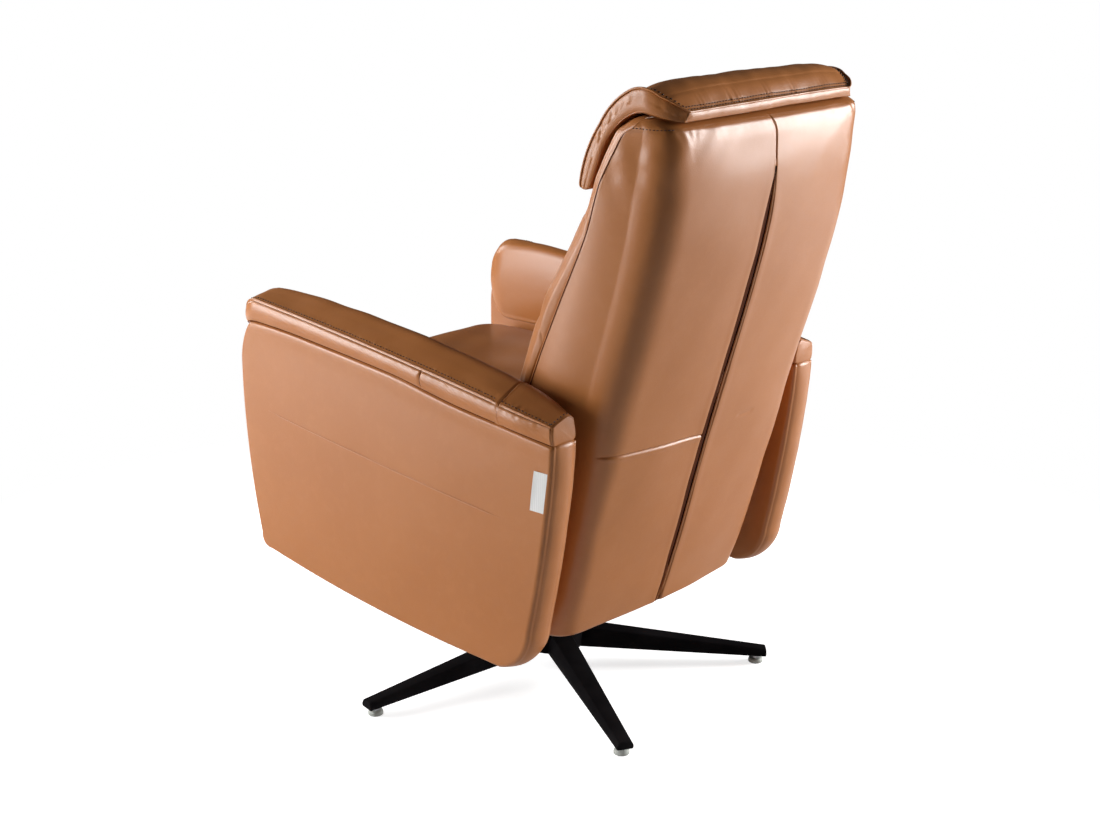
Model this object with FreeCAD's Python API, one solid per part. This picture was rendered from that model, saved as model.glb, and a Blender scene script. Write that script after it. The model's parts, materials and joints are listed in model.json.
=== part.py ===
import FreeCAD, Part
import math
import os

from FreeCAD import Vector

os.makedirs("parts", exist_ok=True)

# Swivel recliner, in millimetres.
# The sitter faces -Y, +X is the sitter's left, and the swivel axis is the Z axis.
# The floor is z = 0.

# Driving dimensions
ARM_INNER_X = 281.0
ARM_OUTER_X = 337.0
ARM_BOARD_INNER_X = 300.0
ARM_BOARD_OUTER_X = 316.0
ARM_BAND_DEPTH = 18.0
SEAT_HALF_WIDTH = 262.0
SEAT_TOP_Z = 521.0
SEAT_BASE_Z = 395.0
SEAT_FRONT_Y = -408.0
SEAT_REAR_Y = 74.0

# Star base
LEG_COUNT = 5
LEG_FIRST_ANGLE = -12.1
LEG_REACH = 384.0
GLIDE_RADIUS_FROM_AXIS = 366.0
GLIDE_RADIUS = 13.0
GLIDE_HEIGHT = 9.0
STUD_RADIUS = 4.0
STUD_TOP_Z = 24.0
LEG_TIP_BOTTOM_Z = 14.0
LEG_TIP_TOP_Z = 28.0
LEG_ROOT_BOTTOM_Z = 38.0
LEG_ROOT_TOP_Z = 74.0
LEG_TIP_HALF_WIDTH = 15.0
LEG_ROOT_HALF_WIDTH = 26.0
HUB_RADIUS = 58.0
HUB_BOTTOM_Z = 34.0
HUB_TOP_Z = 88.0

# Swivel
SPINDLE_RADIUS = 20.0
SWIVEL_CLEARANCE = 0.05
SLEEVE_RADIUS = 28.0
BEARING_TOP_Z = 100.0
SLEEVE_BOTTOM_Z = 100.3
PLATE_BOTTOM_Z = 256.0
PLATE_THICKNESS = 6.0
PLATE_HALF = 108.0

# Chassis
SIDE_PLATE_INNER_X = 209.0
SIDE_PLATE_OUTER_X = 215.0
CROSS_TUBE_HEIGHT = 40.0
CROSS_TUBE_DEPTH = 30.0
CROSS_TUBE_WALL = 2.5
CROSS_TUBE_YS = (-110.0, 46.0)
RECLINE_Y = 165.0
RECLINE_Z = 385.0
RECLINE_EAR_RADIUS = 22.0
RECLINE_PIN_RADIUS = 6.0
PIN_CLEARANCE = 0.05

# Footrest linkage, with the distance forward of the swivel axis counted as positive
CRANK_PIVOT_FORWARD = 250.0
CRANK_PIVOT_Z = 345.0
CRANK_LENGTH = 140.0
CRANK_STOWED_ANGLE = 205.0
LINK_ANGLE = 8.0
CONTROL_OFFSET = 70.0
PAD_PIVOT_FORWARD = 338.0
BAR_HALF_WIDTH = 10.0
BAR_THICKNESS = 5.0
CONTROL_BAR_X = 217.0
LINK_BAR_X = 224.0
CRANK_BAR_X = 231.0
SHAFT_RADIUS = 8.0
LINK_PIN_RADIUS = 5.0
CROSS_ROD_RADIUS = 6.0
OPEN_PIVOT_CLEARANCE = 0.6
PAD_HALF_WIDTH = 262.0
PAD_BOARD_FORWARD = 352.0
PAD_BOARD_THICKNESS = 12.0
PAD_FRONT_FORWARD = 402.0
PAD_BOTTOM_Z = 222.0
PAD_TOP_Z = 389.0

# Gas strut above the cross tubes
STRUT_X = 130.0
STRUT_BASE_Y = -110.0
STRUT_BASE_Z = 335.0
STRUT_FALL = 6.0
STRUT_END_Y = 180.0
STRUT_END_Z = 306.0
STRUT_BODY_RADIUS = 11.0
STRUT_BODY_END = 175.0
STRUT_ROD_START = 90.0
STRUT_ROD_RADIUS = 5.0
STRUT_BAR_RADIUS = 7.0
STRUT_EYE_CLEARANCE = 3.2

# Headrest hinge
HEAD_HINGE_Y = 290.0
HEAD_HINGE_Z = 903.0
HEAD_LUG_X = 107.0
HEAD_PLATE_THICKNESS = 6.0
HEAD_PIN_RADIUS = 4.0

# Arm pads along Y
ARM_FRONT_TOP_Y = -398.0
PAD_NOSE_Y = -421.0
PAD_NOSE_Z = 606.0
PAD_NOSE_DEPTH = 46.0
PAD_NOSE_STATIONS = (-420.0, -417.0, -411.0)
PAD_STATIONS = (-375.0, -330.0, -260.0, -180.0, -100.0, -20.0, 60.0, 130.0)
PAD_JOINT_Y = 196.0
REAR_PAD_STATIONS = (230.0, 265.0, 302.0)
PAD_REAR_Y = 302.0
PAD_ROLL_Z = 520.0
PAD_ROLL_OUT = 13.0
PAD_NOSE_DROP = 34.0
PAD_DROP_LENGTH = 150.0
PAD_CROWNS = ((-375.0, 19.0), (-330.0, 23.0), (-260.0, 27.0), (-180.0, 31.0), (-60.0, 34.0), (60.0, 34.0),
              (196.0, 28.0), (250.0, 22.0), (302.0, 14.0))

# Backrest against height: half width, side seam, rear corners and how deep the front cushion is
BACK_STATIONS = (415.0, 424.0, 440.0, 465.0, 495.0, 530.0, 570.0, 615.0, 665.0, 727.0, 790.0, 850.0,
                 888.0, 902.0, 914.0, 945.0, 975.0, 997.0, 1009.0)
BACK_HALVES = ((415.0, 238.0), (500.0, 243.0), (620.0, 247.0), (880.0, 247.0), (960.0, 243.0),
               (1009.0, 228.0))
SIDE_SEAM = ((415.0, 118.0), (500.0, 139.0), (590.0, 166.0), (727.0, 228.0), (850.0, 288.0),
             (930.0, 312.0), (985.0, 338.0), (1009.0, 356.0))
BACK_REARS = ((415.0, 294.0), (500.0, 317.0), (590.0, 344.0), (727.0, 386.0), (850.0, 418.0),
              (930.0, 429.0), (985.0, 424.0), (1009.0, 408.0))
BACK_CORNERS = ((415.0, 38.0), (600.0, 44.0), (850.0, 44.0), (950.0, 36.0), (1009.0, 20.0))
BACK_BOW = 14.0
CUSHION_DEPTHS = ((415.0, 10.0), (424.0, 20.0), (440.0, 26.0), (465.0, 30.0), (530.0, 32.0),
                  (594.0, 33.0), (640.0, 38.0), (727.0, 46.0), (787.0, 43.0), (850.0, 36.0),
                  (888.0, 27.0), (902.0, 23.0), (914.0, 20.0), (945.0, 22.0), (975.0, 27.0),
                  (1009.0, 14.0))
CUSHION_BOWS = ((415.0, 2.0), (440.0, 9.0), (530.0, 26.0), (615.0, 24.0), (727.0, 16.0), (850.0, 12.0),
                (888.0, 5.0), (902.0, 2.0), (914.0, 1.0), (1009.0, 1.0))

# Headrest, as the centre that its rounded ends shrink towards
HEAD_CENTRE_Y = 360.0
HEAD_CENTRE_Z = 1036.0
HEAD_HALF_WIDTH = 236.0
HEAD_REAR_HALF_WIDTH = 212.0

SIDES = (("left", 1.0), ("right", -1.0))


def save(name, shape):
    """Write one sub-part and say how big it is."""
    shape.exportStep(os.path.join("parts", name + ".step"))
    bound = shape.BoundBox
    print(f"{name:28s} solids {len(shape.Solids):2d} volume {shape.Volume / 1000:9.1f} cm3  "
          f"x {bound.XMin:7.1f} {bound.XMax:7.1f}  y {bound.YMin:7.1f} {bound.YMax:7.1f}  "
          f"z {bound.ZMin:7.1f} {bound.ZMax:7.1f} valid {shape.isValid()}")


def mirrored(shape, side):
    """The shape itself for the left side, or its mirror image for the right side."""
    if side > 0:
        return shape
    return shape.mirror(Vector(0, 0, 0), Vector(1, 0, 0))


def box(x0, x1, y0, y1, z0, z1):
    return Part.makeBox(x1 - x0, y1 - y0, z1 - z0, Vector(x0, y0, z0))


def rod(x0, x1, y, z, radius):
    """A round bar along X."""
    return Part.makeCylinder(radius, x1 - x0, Vector(x0, y, z), Vector(1, 0, 0))


def prism_x(points, x0, x1):
    """Extrude a closed (y, z) polygon along X."""
    corners = [Vector(x0, y, z) for y, z in points]
    face = Part.Face(Part.makePolygon(corners + corners[:1]))
    return face.extrude(Vector(x1 - x0, 0, 0))


def bar_between(y0, z0, y1, z1, half_width, x0, x1):
    """A flat bar with round ends from one (y, z) point to another."""
    length = math.hypot(y1 - y0, z1 - z0)
    across_y = -(z1 - z0) / length * half_width
    across_z = (y1 - y0) / length * half_width
    middle = prism_x([(y0 + across_y, z0 + across_z), (y1 + across_y, z1 + across_z),
                      (y1 - across_y, z1 - across_z), (y0 - across_y, z0 - across_z)], x0, x1)
    ends = [rod(x0, x1, y0, z0, half_width), rod(x0, x1, y1, z1, half_width)]
    return middle.fuse(ends).removeSplitter()


def arc(start, middle, end):
    return Part.Arc(start, middle, end).toShape()


def line(start, end):
    return Part.LineSegment(start, end).toShape()


def loft(wires, ruled=False):
    solid = Part.makeLoft(wires, True, ruled)
    if not solid.isValid():
        solid.fix(0.01, 0.01, 0.01)
    return solid


def leg_point(angle, out, across, z):
    """A point measured along a leg, across it and up."""
    turn = math.radians(angle)
    return Vector(out * math.cos(turn) - across * math.sin(turn),
                  out * math.sin(turn) + across * math.cos(turn), z)


# Star base

def leg_section(angle, out, half_width, bottom, top):
    """A trapezoid cut of a leg: a flat top, leaning sides and a wider bottom."""
    top_half = half_width * 0.72
    corners = [leg_point(angle, out, -half_width, bottom), leg_point(angle, out, half_width, bottom),
               leg_point(angle, out, top_half, top), leg_point(angle, out, -top_half, top)]
    return Part.makePolygon(corners + corners[:1])


def star_leg(index):
    """One tapered leg, cut to the hub at its root and bored for its levelling stud."""
    angle = LEG_FIRST_ANGLE + index * 360.0 / LEG_COUNT
    root = leg_section(angle, 30.0, LEG_ROOT_HALF_WIDTH, LEG_ROOT_BOTTOM_Z, LEG_ROOT_TOP_Z)
    tip = leg_section(angle, LEG_REACH, LEG_TIP_HALF_WIDTH, LEG_TIP_BOTTOM_Z, LEG_TIP_TOP_Z)
    leg = loft([root, tip], ruled=True)
    hub = Part.makeCylinder(HUB_RADIUS, 200.0, Vector(0, 0, 0))
    foot = leg_point(angle, GLIDE_RADIUS_FROM_AXIS, 0, 0)
    stud_hole = Part.makeCylinder(STUD_RADIUS, STUD_TOP_Z, foot)
    return leg.cut(hub).cut(stud_hole)


def glides():
    """Five round glides with the studs that screw into the legs."""
    pads = []
    studs = []
    for index in range(LEG_COUNT):
        angle = LEG_FIRST_ANGLE + index * 360.0 / LEG_COUNT
        foot = leg_point(angle, GLIDE_RADIUS_FROM_AXIS, 0, 0)
        pad = Part.makeCylinder(GLIDE_RADIUS, GLIDE_HEIGHT, foot)
        pad = pad.makeChamfer(2.0, [edge for edge in pad.Edges if edge.BoundBox.ZMin > GLIDE_HEIGHT - 1])
        pads.append(pad)
        stud = Part.makeCylinder(STUD_RADIUS, STUD_TOP_Z - GLIDE_HEIGHT, foot + Vector(0, 0, GLIDE_HEIGHT))
        nut = Part.makeCylinder(8.0, LEG_TIP_BOTTOM_Z - GLIDE_HEIGHT, foot + Vector(0, 0, GLIDE_HEIGHT))
        studs.append(stud.fuse(nut))
    return Part.makeCompound(pads), Part.makeCompound(studs)


def hub():
    """The cast hub: a turned body with a bore for the spindle."""
    outline = [Vector(SPINDLE_RADIUS, 0, HUB_BOTTOM_Z), Vector(46, 0, HUB_BOTTOM_Z),
               Vector(HUB_RADIUS, 0, 40), Vector(HUB_RADIUS, 0, 78),
               Vector(48, 0, 84), Vector(42, 0, HUB_TOP_Z), Vector(SPINDLE_RADIUS, 0, HUB_TOP_Z)]
    face = Part.Face(Part.makePolygon(outline + outline[:1]))
    return face.revolve(Vector(0, 0, 0), Vector(0, 0, 1), 360)


def tube_z(outer, inner, z0, z1):
    return Part.makeCylinder(outer, z1 - z0, Vector(0, 0, z0)).cut(
        Part.makeCylinder(inner, z1 - z0, Vector(0, 0, z0)))


def swivel_column():
    """Spindle and thrust bearing on the base, sleeve and plate on the seat."""
    plate_top = PLATE_BOTTOM_Z + PLATE_THICKNESS
    spindle = Part.makeCylinder(SPINDLE_RADIUS, plate_top + 0.3 - HUB_BOTTOM_Z, Vector(0, 0, HUB_BOTTOM_Z))
    cap = Part.makeCylinder(SPINDLE_RADIUS + 9, 5.0, Vector(0, 0, plate_top + 0.3))
    bearing = tube_z(38.0, SPINDLE_RADIUS, HUB_TOP_Z, BEARING_TOP_Z)
    bore = SPINDLE_RADIUS + SWIVEL_CLEARANCE
    sleeve = tube_z(SLEEVE_RADIUS, bore, SLEEVE_BOTTOM_Z, PLATE_BOTTOM_Z)
    plate = box(-PLATE_HALF, PLATE_HALF, -128.0, 64.0, PLATE_BOTTOM_Z, plate_top)
    plate = plate.cut(Part.makeCylinder(bore, 40.0, Vector(0, 0, PLATE_BOTTOM_Z - 10)))
    return spindle, cap, bearing, sleeve, plate


# Chassis

def forward(distance):
    """The Y of a point so far forward of the swivel axis."""
    return -distance


def crank_pivot():
    return forward(CRANK_PIVOT_FORWARD), CRANK_PIVOT_Z


def along(point, angle, length):
    """A (y, z) point moved by a length at an angle above the forward direction."""
    turn = math.radians(angle)
    return point[0] - length * math.cos(turn), point[1] + length * math.sin(turn)


def control_pivot():
    return along(crank_pivot(), LINK_ANGLE, CONTROL_OFFSET)


def crank_end():
    return along(crank_pivot(), CRANK_STOWED_ANGLE, CRANK_LENGTH)


def control_end():
    return along(crank_end(), LINK_ANGLE, CONTROL_OFFSET)


def pad_pivot():
    reach = (PAD_PIVOT_FORWARD + crank_end()[0]) / math.cos(math.radians(LINK_ANGLE))
    return along(crank_end(), LINK_ANGLE, reach)


def side_plate():
    """The left chassis plate, from the footrest pivots to the ear of the recline hinge."""
    x0, x1 = SIDE_PLATE_INNER_X, SIDE_PLATE_OUTER_X
    rail_top = SEAT_BASE_Z - 26.0
    front = control_pivot()
    web = prism_x([(front[0], 340), (-140, 325), (-140, 262), (64, 262), (82, 330),
                   (RECLINE_Y + 6, RECLINE_Z - 21), (RECLINE_Y - 6, RECLINE_Z + 21),
                   (95, rail_top), (front[0], rail_top)], x0, x1)
    nose = rod(x0, x1, front[0], front[1], 13.4)
    ear = rod(x0, x1, RECLINE_Y, RECLINE_Z, RECLINE_EAR_RADIUS)
    plate = web.fuse([nose, ear]).removeSplitter()
    plate = plate.cut(rod(x0 - 1, x1 + 1, *crank_pivot(), SHAFT_RADIUS + PIN_CLEARANCE))
    plate = plate.cut(rod(x0 - 1, x1 + 1, RECLINE_Y, RECLINE_Z, RECLINE_PIN_RADIUS))
    return plate.cut(rod(x0 - 1, x1 + 1, *control_pivot(), LINK_PIN_RADIUS))


def cross_tube(y):
    """A rectangular tube that joins the side plates above the swivel plate."""
    z0 = PLATE_BOTTOM_Z + PLATE_THICKNESS
    half = CROSS_TUBE_DEPTH / 2
    wall = CROSS_TUBE_WALL
    outer = box(-SIDE_PLATE_INNER_X, SIDE_PLATE_INNER_X, y - half, y + half, z0, z0 + CROSS_TUBE_HEIGHT)
    inner = box(-SIDE_PLATE_INNER_X, SIDE_PLATE_INNER_X, y - half + wall, y + half - wall,
                z0 + wall, z0 + CROSS_TUBE_HEIGHT - wall)
    return outer.cut(inner)


def plate_bolts():
    """Four hexagon bolts that hold the swivel plate to the cross tubes."""
    bolts = []
    for y in CROSS_TUBE_YS:
        for x in (-85.0, 85.0):
            corners = [Vector(x + 8 * math.cos(math.radians(60 * i)),
                              y + 8 * math.sin(math.radians(60 * i)), PLATE_BOTTOM_Z - 6)
                       for i in range(6)]
            head = Part.Face(Part.makePolygon(corners + corners[:1])).extrude(Vector(0, 0, 6))
            bolts.append(head)
    return Part.makeCompound(bolts)


def seat_frame():
    """The wooden seat frame: two long rails, three cross rails."""
    z0, z1 = SEAT_BASE_Z - 26.0, SEAT_BASE_Z - 2.0
    outer = box(-250, 250, -335, SEAT_REAR_Y - 6, z0, z1)
    windows = [box(-205, 205, -290, -120, z0, z1), box(-205, 205, -75, SEAT_REAR_Y - 51, z0, z1)]
    return outer.cut(windows[0]).cut(windows[1])


def seat_springs():
    """Elastic webbing straps across the seat frame."""
    z0, z1 = SEAT_BASE_Z - 2.0, SEAT_BASE_Z
    straps = [box(-240, 240, y - 25, y + 25, z0, z1) for y in (-300, -230, -160, -90, -20, 40)]
    return Part.makeCompound(straps)


def rounded_rectangle(x_half, y0, y1, z, corner, front_bow=0.0, rear_bow=0.0, side_bow=0.0):
    """A flat closed outline at height z, with bowed sides and arcs at its corners."""
    c = corner
    k = c * (1 - math.sqrt(0.5))
    p = [Vector(-x_half + c, y0, z), Vector(x_half - c, y0, z),
         Vector(x_half, y0 + c, z), Vector(x_half, y1 - c, z),
         Vector(x_half - c, y1, z), Vector(-x_half + c, y1, z),
         Vector(-x_half, y1 - c, z), Vector(-x_half, y0 + c, z)]
    middle_y = (y0 + y1) / 2
    edges = [arc(p[0], Vector(0, y0 - front_bow, z), p[1]),
             arc(p[1], Vector(x_half - k, y0 + k, z), p[2]),
             arc(p[2], Vector(x_half + side_bow, middle_y, z), p[3]),
             arc(p[3], Vector(x_half - k, y1 - k, z), p[4]),
             arc(p[4], Vector(0, y1 + rear_bow, z), p[5]),
             arc(p[5], Vector(-x_half + k, y1 - k, z), p[6]),
             arc(p[6], Vector(-x_half - side_bow, middle_y, z), p[7]),
             arc(p[7], Vector(-x_half + k, y0 + k, z), p[0])]
    return Part.Wire(edges)


def seat_cushion():
    """Crowned seat cushion, drawn in at its bottom and top edges."""
    x, y0, y1 = SEAT_HALF_WIDTH, SEAT_FRONT_Y, SEAT_REAR_Y
    height = SEAT_TOP_Z - SEAT_BASE_Z
    cuts = [(16, 0.0, 30), (5, 0.10, 34), (1, 0.25, 38), (0, 0.5, 40), (1, 0.74, 42), (6, 0.88, 46),
            (16, 0.96, 50), (36, 1.0, 54), (76, 1.03, 60), (130, 1.045, 60), (190, 1.05, 50)]
    wires = [rounded_rectangle(x - inset, y0 + inset, y1 - inset * 0.6, SEAT_BASE_Z + share * height,
                               corner, 3, 1, 1) for inset, share, corner in cuts]
    return loft(wires, ruled=True)


# Arms

def pad_seam(y):
    """Heights of the lower and upper seams of the arm pad on its outer side."""
    share = (y + 390.0) / 692.0
    low = 620.0 - 71.0 * share + 14.0 * share * (1.0 - share)
    high = 666.0 - 86.0 * share + 22.0 * share * (1.0 - share)
    return low, high


def nose_share(y):
    """How full the round nose of the pad is at y, from 0 at its tip to 1."""
    share = min(1.0, (y - PAD_NOSE_Y) / PAD_NOSE_DEPTH)
    return math.sqrt(max(0.0, 1.0 - (1.0 - share) ** 2))


def pad_low(y):
    """The underside of the pad, which the arm below it meets."""
    low = pad_seam(max(y, PAD_NOSE_Y + PAD_NOSE_DEPTH))[0]
    return PAD_NOSE_Z + (low - PAD_NOSE_Z) * nose_share(y)


def arm_top(y):
    """The straight-run top edge of the arm under the pad stations."""
    stations = [ARM_FRONT_TOP_Y] + list(PAD_STATIONS) + [PAD_JOINT_Y] + list(REAR_PAD_STATIONS)
    for start, end in zip(stations, stations[1:]):
        if y <= end:
            share = (y - start) / (end - start)
            return pad_low(start) + share * (pad_low(end) - pad_low(start))
    return pad_low(stations[-1])


def arm_outline(inset=0.0):
    """The side outline of an arm below its pad, as a closed wire in the plane x = 0."""
    i = inset
    front_low = Vector(0, -386 + i, 219 + i * 0.9)
    front_mid = Vector(0, -421 + i, 430)
    front_top = Vector(0, ARM_FRONT_TOP_Y + i, arm_top(ARM_FRONT_TOP_Y + i))
    rear_top = Vector(0, PAD_REAR_Y - i, arm_top(PAD_REAR_Y - i))
    rear_mid = Vector(0, 277 - i, 360)
    rear_low = Vector(0, 252 - i, 238 + i * 0.3)
    corner_mid = Vector(0, 232 - i * 0.75, 190 + i * 0.7)
    corner_low = Vector(0, 190 - i * 0.4, 164 + i)
    bottom_mid = Vector(0, -98, 178 + i)
    tops = [front_top]
    for y in list(PAD_STATIONS) + [PAD_JOINT_Y] + list(REAR_PAD_STATIONS):
        if front_top.y < y < rear_top.y:
            tops.append(Vector(0, y, arm_top(y)))
    tops.append(rear_top)
    edges = [arc(front_low, front_mid, front_top)]
    edges += [line(start, end) for start, end in zip(tops, tops[1:])]
    edges += [arc(rear_top, rear_mid, rear_low), arc(rear_low, corner_mid, corner_low),
              arc(corner_low, bottom_mid, front_low)]
    return Part.Wire(edges)


def arm_slab(x0, x1, inset):
    """A slab with the arm's outline between two x planes."""
    face = Part.Face(arm_outline(inset))
    slab = face.extrude(Vector(x1 - x0, 0, 0))
    slab.translate(Vector(x0, 0, 0))
    return slab


def arm_band():
    """The strip along the front, bottom and rear edges of the left arm."""
    whole = arm_slab(ARM_INNER_X, ARM_OUTER_X, 0.0)
    inside = arm_slab(ARM_INNER_X - 1, ARM_OUTER_X + 1, ARM_BAND_DEPTH)
    return whole.cut(inside)


def pad_section(y, low, high, inner_low, crown, narrow=0.0, inner_drop=6.0, inner_in=0.0):
    """A cut of the arm pad: boxing, crown and a roll down the inner side."""
    outer = ARM_OUTER_X + 2.0 - narrow
    inner = ARM_INNER_X - PAD_ROLL_OUT + 0.3 * narrow + inner_in
    rim = max(ARM_INNER_X, inner + 10.0)
    p = [Vector(ARM_OUTER_X - narrow, y, low), Vector(outer, y, high),
         Vector(inner + 10, y, high - inner_drop), Vector(inner + 6, y, inner_low + 8),
         Vector(rim, y, inner_low), Vector(rim, y, low)]
    edges = [arc(p[0], Vector(outer + 5, y, (low + high) / 2), p[1]),
             arc(p[1], Vector((outer + inner) / 2 + 4, y, high + crown - 0.3 * inner_drop), p[2]),
             arc(p[2], Vector(inner - 3, y, (high - inner_drop + inner_low) / 2), p[3]),
             arc(p[3], Vector(inner + 8.5, y, inner_low + 0.8), p[4]),
             line(p[4], p[5]), line(p[5], p[0])]
    return Part.Wire(edges)


def nose_drop(y):
    """How far the inner top edge of the pad falls away towards its nose."""
    share = max(0.0, 1.0 - (y - PAD_NOSE_Y) / PAD_DROP_LENGTH)
    return 6.0 + PAD_NOSE_DROP * share ** 2


def arm_pad():
    """The long front pad of the left arm, from its round nose to the joint."""
    wires = []
    for y in PAD_NOSE_STATIONS + (ARM_FRONT_TOP_Y,):
        full = nose_share(y)
        high = PAD_NOSE_Z + (pad_seam(PAD_NOSE_Y + PAD_NOSE_DEPTH)[1] - PAD_NOSE_Z) * full
        roll = PAD_NOSE_Z + (PAD_ROLL_Z - PAD_NOSE_Z) * full - 4.0 * (1.0 - full)
        wires.append(pad_section(y, pad_low(y), high, roll, 4.0 + 14.0 * full, 24.0 * (1.0 - full),
                                 nose_drop(y) * full))
    for y in PAD_STATIONS + (PAD_JOINT_Y,):
        wires.append(pad_section(y, pad_low(y), pad_seam(y)[1], PAD_ROLL_Z, smooth(y, PAD_CROWNS), 0.0,
                                 nose_drop(y)))
    return loft(wires, ruled=True)


def arm_rear_pad():
    """The short rear pad of the left arm, from the joint to the square end, narrower at its end."""
    wires = []
    cuts = ((PAD_JOINT_Y + 1.0, 0.0, 0.0, PAD_ROLL_Z + 12.0), (230.0, 0.0, 1.0, PAD_ROLL_Z + 14.0),
            (265.0, 1.0, 2.5, arm_top(265.0) + 3.0), (PAD_REAR_Y, 3.0, 16.0, arm_top(PAD_REAR_Y) + 3.0))
    for y, narrow, inner_in, roll in cuts:
        wires.append(pad_section(y, arm_top(y), pad_seam(y)[1], roll, smooth(y, PAD_CROWNS), narrow, 6.0,
                                 inner_in))
    return loft(wires, ruled=True)


def arm_parts():
    """All solids of the left arm by name."""
    inset = ARM_BAND_DEPTH
    return {"arm_edge_band": arm_band(),
            "arm_outer_panel": arm_slab(ARM_BOARD_OUTER_X, ARM_OUTER_X, inset),
            "arm_board": arm_slab(ARM_BOARD_INNER_X, ARM_BOARD_OUTER_X, inset),
            "arm_inner_panel": arm_slab(ARM_INNER_X, ARM_BOARD_INNER_X, inset),
            "arm_pad": arm_pad(), "arm_rear_pad": arm_rear_pad()}


def arm_brackets():
    """Two steel angles per arm, from the seat frame to the inner panel."""
    brackets = []
    for y in (-260.0, 20.0):
        brackets.append(box(SIDE_PLATE_OUTER_X + 24, ARM_INNER_X, y - 25, y + 25, 360, 369))
    return Part.makeCompound(brackets)


# Back

def smooth(position, points):
    """A smooth curve through (position, value) points, read at one position."""
    last = len(points) - 2
    index = 0
    while index < last and position > points[index + 1][0]:
        index += 1
    (x0, v0), (x1, v1) = points[index], points[index + 1]
    slope0 = slope1 = (v1 - v0) / (x1 - x0)
    if index > 0:
        before = points[index - 1]
        slope0 = (v1 - before[1]) / (x1 - before[0])
    if index < last:
        after = points[index + 2]
        slope1 = (after[1] - v0) / (after[0] - x0)
    t = (position - x0) / (x1 - x0)
    run = x1 - x0
    return ((2 * t ** 3 - 3 * t ** 2 + 1) * v0 + (t ** 3 - 2 * t ** 2 + t) * run * slope0
            + (3 * t ** 2 - 2 * t ** 3) * v1 + (t ** 3 - t ** 2) * run * slope1)


def back_rear_pad():
    """The rear half of the backrest, from the side seam to the rounded rear."""
    wires = [pad_wire(z, smooth(z, BACK_HALVES), smooth(z, SIDE_SEAM), smooth(z, BACK_REARS),
                      smooth(z, BACK_CORNERS)) for z in BACK_STATIONS]
    return loft(wires, ruled=True)


def pad_wire(z, half, seam, rear, corner):
    """A flat-fronted outline with a bowed rear and round rear corners."""
    k = corner * (1 - math.sqrt(0.5))
    p = [Vector(-half, seam, z), Vector(half, seam, z), Vector(half, rear - corner, z),
         Vector(half - corner, rear, z), Vector(-half + corner, rear, z), Vector(-half, rear - corner, z)]
    edges = [line(p[0], p[1]), line(p[1], p[2]),
             arc(p[2], Vector(half - k, rear - k, z), p[3]),
             arc(p[3], Vector(0, rear + BACK_BOW, z), p[4]),
             arc(p[4], Vector(-half + k, rear - k, z), p[5]), line(p[5], p[0])]
    return Part.Wire(edges)


def back_lower_panel():
    """The padded board behind the seat, which carries the rear cover down to its hem."""
    stations = [(184, 232, 176, 225, 28), (250, 236, 198, 247, 28), (323, 238, 220, 269, 30),
                (414, 240, 244, 294, 34)]
    wires = [pad_wire(z, half, front, rear, corner) for z, half, front, rear, corner in stations]
    return loft(wires)


def cushion_wire(z, half, front, seam, corner, bow):
    """A flat-backed outline with a bowed front and round front corners."""
    k = corner * (1 - math.sqrt(0.5))
    p = [Vector(half, seam, z), Vector(-half, seam, z), Vector(-half, front + corner, z),
         Vector(-half + corner, front, z), Vector(half - corner, front, z), Vector(half, front + corner, z)]
    edges = [line(p[0], p[1]), line(p[1], p[2]),
             arc(p[2], Vector(-half + k, front + k, z), p[3]),
             arc(p[3], Vector(0, front - bow, z), p[4]),
             arc(p[4], Vector(half - k, front + k, z), p[5]), line(p[5], p[0])]
    return Part.Wire(edges)


def back_cushion():
    """The front half of the backrest, with a lumbar swell and a step behind the headrest."""
    wires = []
    for z in BACK_STATIONS:
        seam = smooth(z, SIDE_SEAM)
        depth = smooth(z, CUSHION_DEPTHS)
        corner = min(30.0, depth * 0.8)
        wires.append(cushion_wire(z, smooth(z, BACK_HALVES) - 3.0, seam - depth, seam, corner,
                                  smooth(z, CUSHION_BOWS)))
    return loft(wires, ruled=True)


def upright_line(z):
    """The Y of the steel uprights at height z."""
    return RECLINE_Y + 10 + (z - 400.0) * 195.0 / 560.0


def back_upright():
    """The left steel upright, a square tube cut square to Z."""
    x0, x1 = 178.0, 202.5
    z0, z1 = 416.0, 955.0
    half = 12.5
    return prism_x([(upright_line(z0) - half, z0), (upright_line(z0) + half, z0),
                    (upright_line(z1) + half, z1), (upright_line(z1) - half, z1)], x0, x1)


def back_rails():
    """Three cross rails between the uprights."""
    rails = []
    for z in (440.0, 690.0, 930.0):
        y = upright_line(z)
        rails.append(box(-178.0, 178.0, y - 10, y + 10, z - 12, z + 12))
    return Part.makeCompound(rails)


def back_bracket():
    """The left lever plate on the outside of the upright, turning on the recline pin."""
    x0, x1 = 202.5, 208.5
    upper = bar_between(RECLINE_Y, RECLINE_Z, upright_line(560.0), 560.0, 13.0, x0, x1)
    lower = bar_between(RECLINE_Y, RECLINE_Z, STRUT_END_Y, STRUT_END_Z, 14.0, x0, x1)
    boss = rod(x0, x1, RECLINE_Y, RECLINE_Z, 20.0)
    plate = upper.fuse([lower, boss]).removeSplitter()
    plate = plate.cut(rod(x0 - 1, x1 + 1, RECLINE_Y, RECLINE_Z, RECLINE_PIN_RADIUS + PIN_CLEARANCE))
    return plate.cut(rod(x0 - 1, x1 + 1, STRUT_END_Y, STRUT_END_Z, STRUT_BAR_RADIUS))


def strut_bar():
    """The cross bar that the gas strut pushes, between the two lever plates."""
    return rod(-208.5, 208.5, STRUT_END_Y, STRUT_END_Z, STRUT_BAR_RADIUS)


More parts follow.
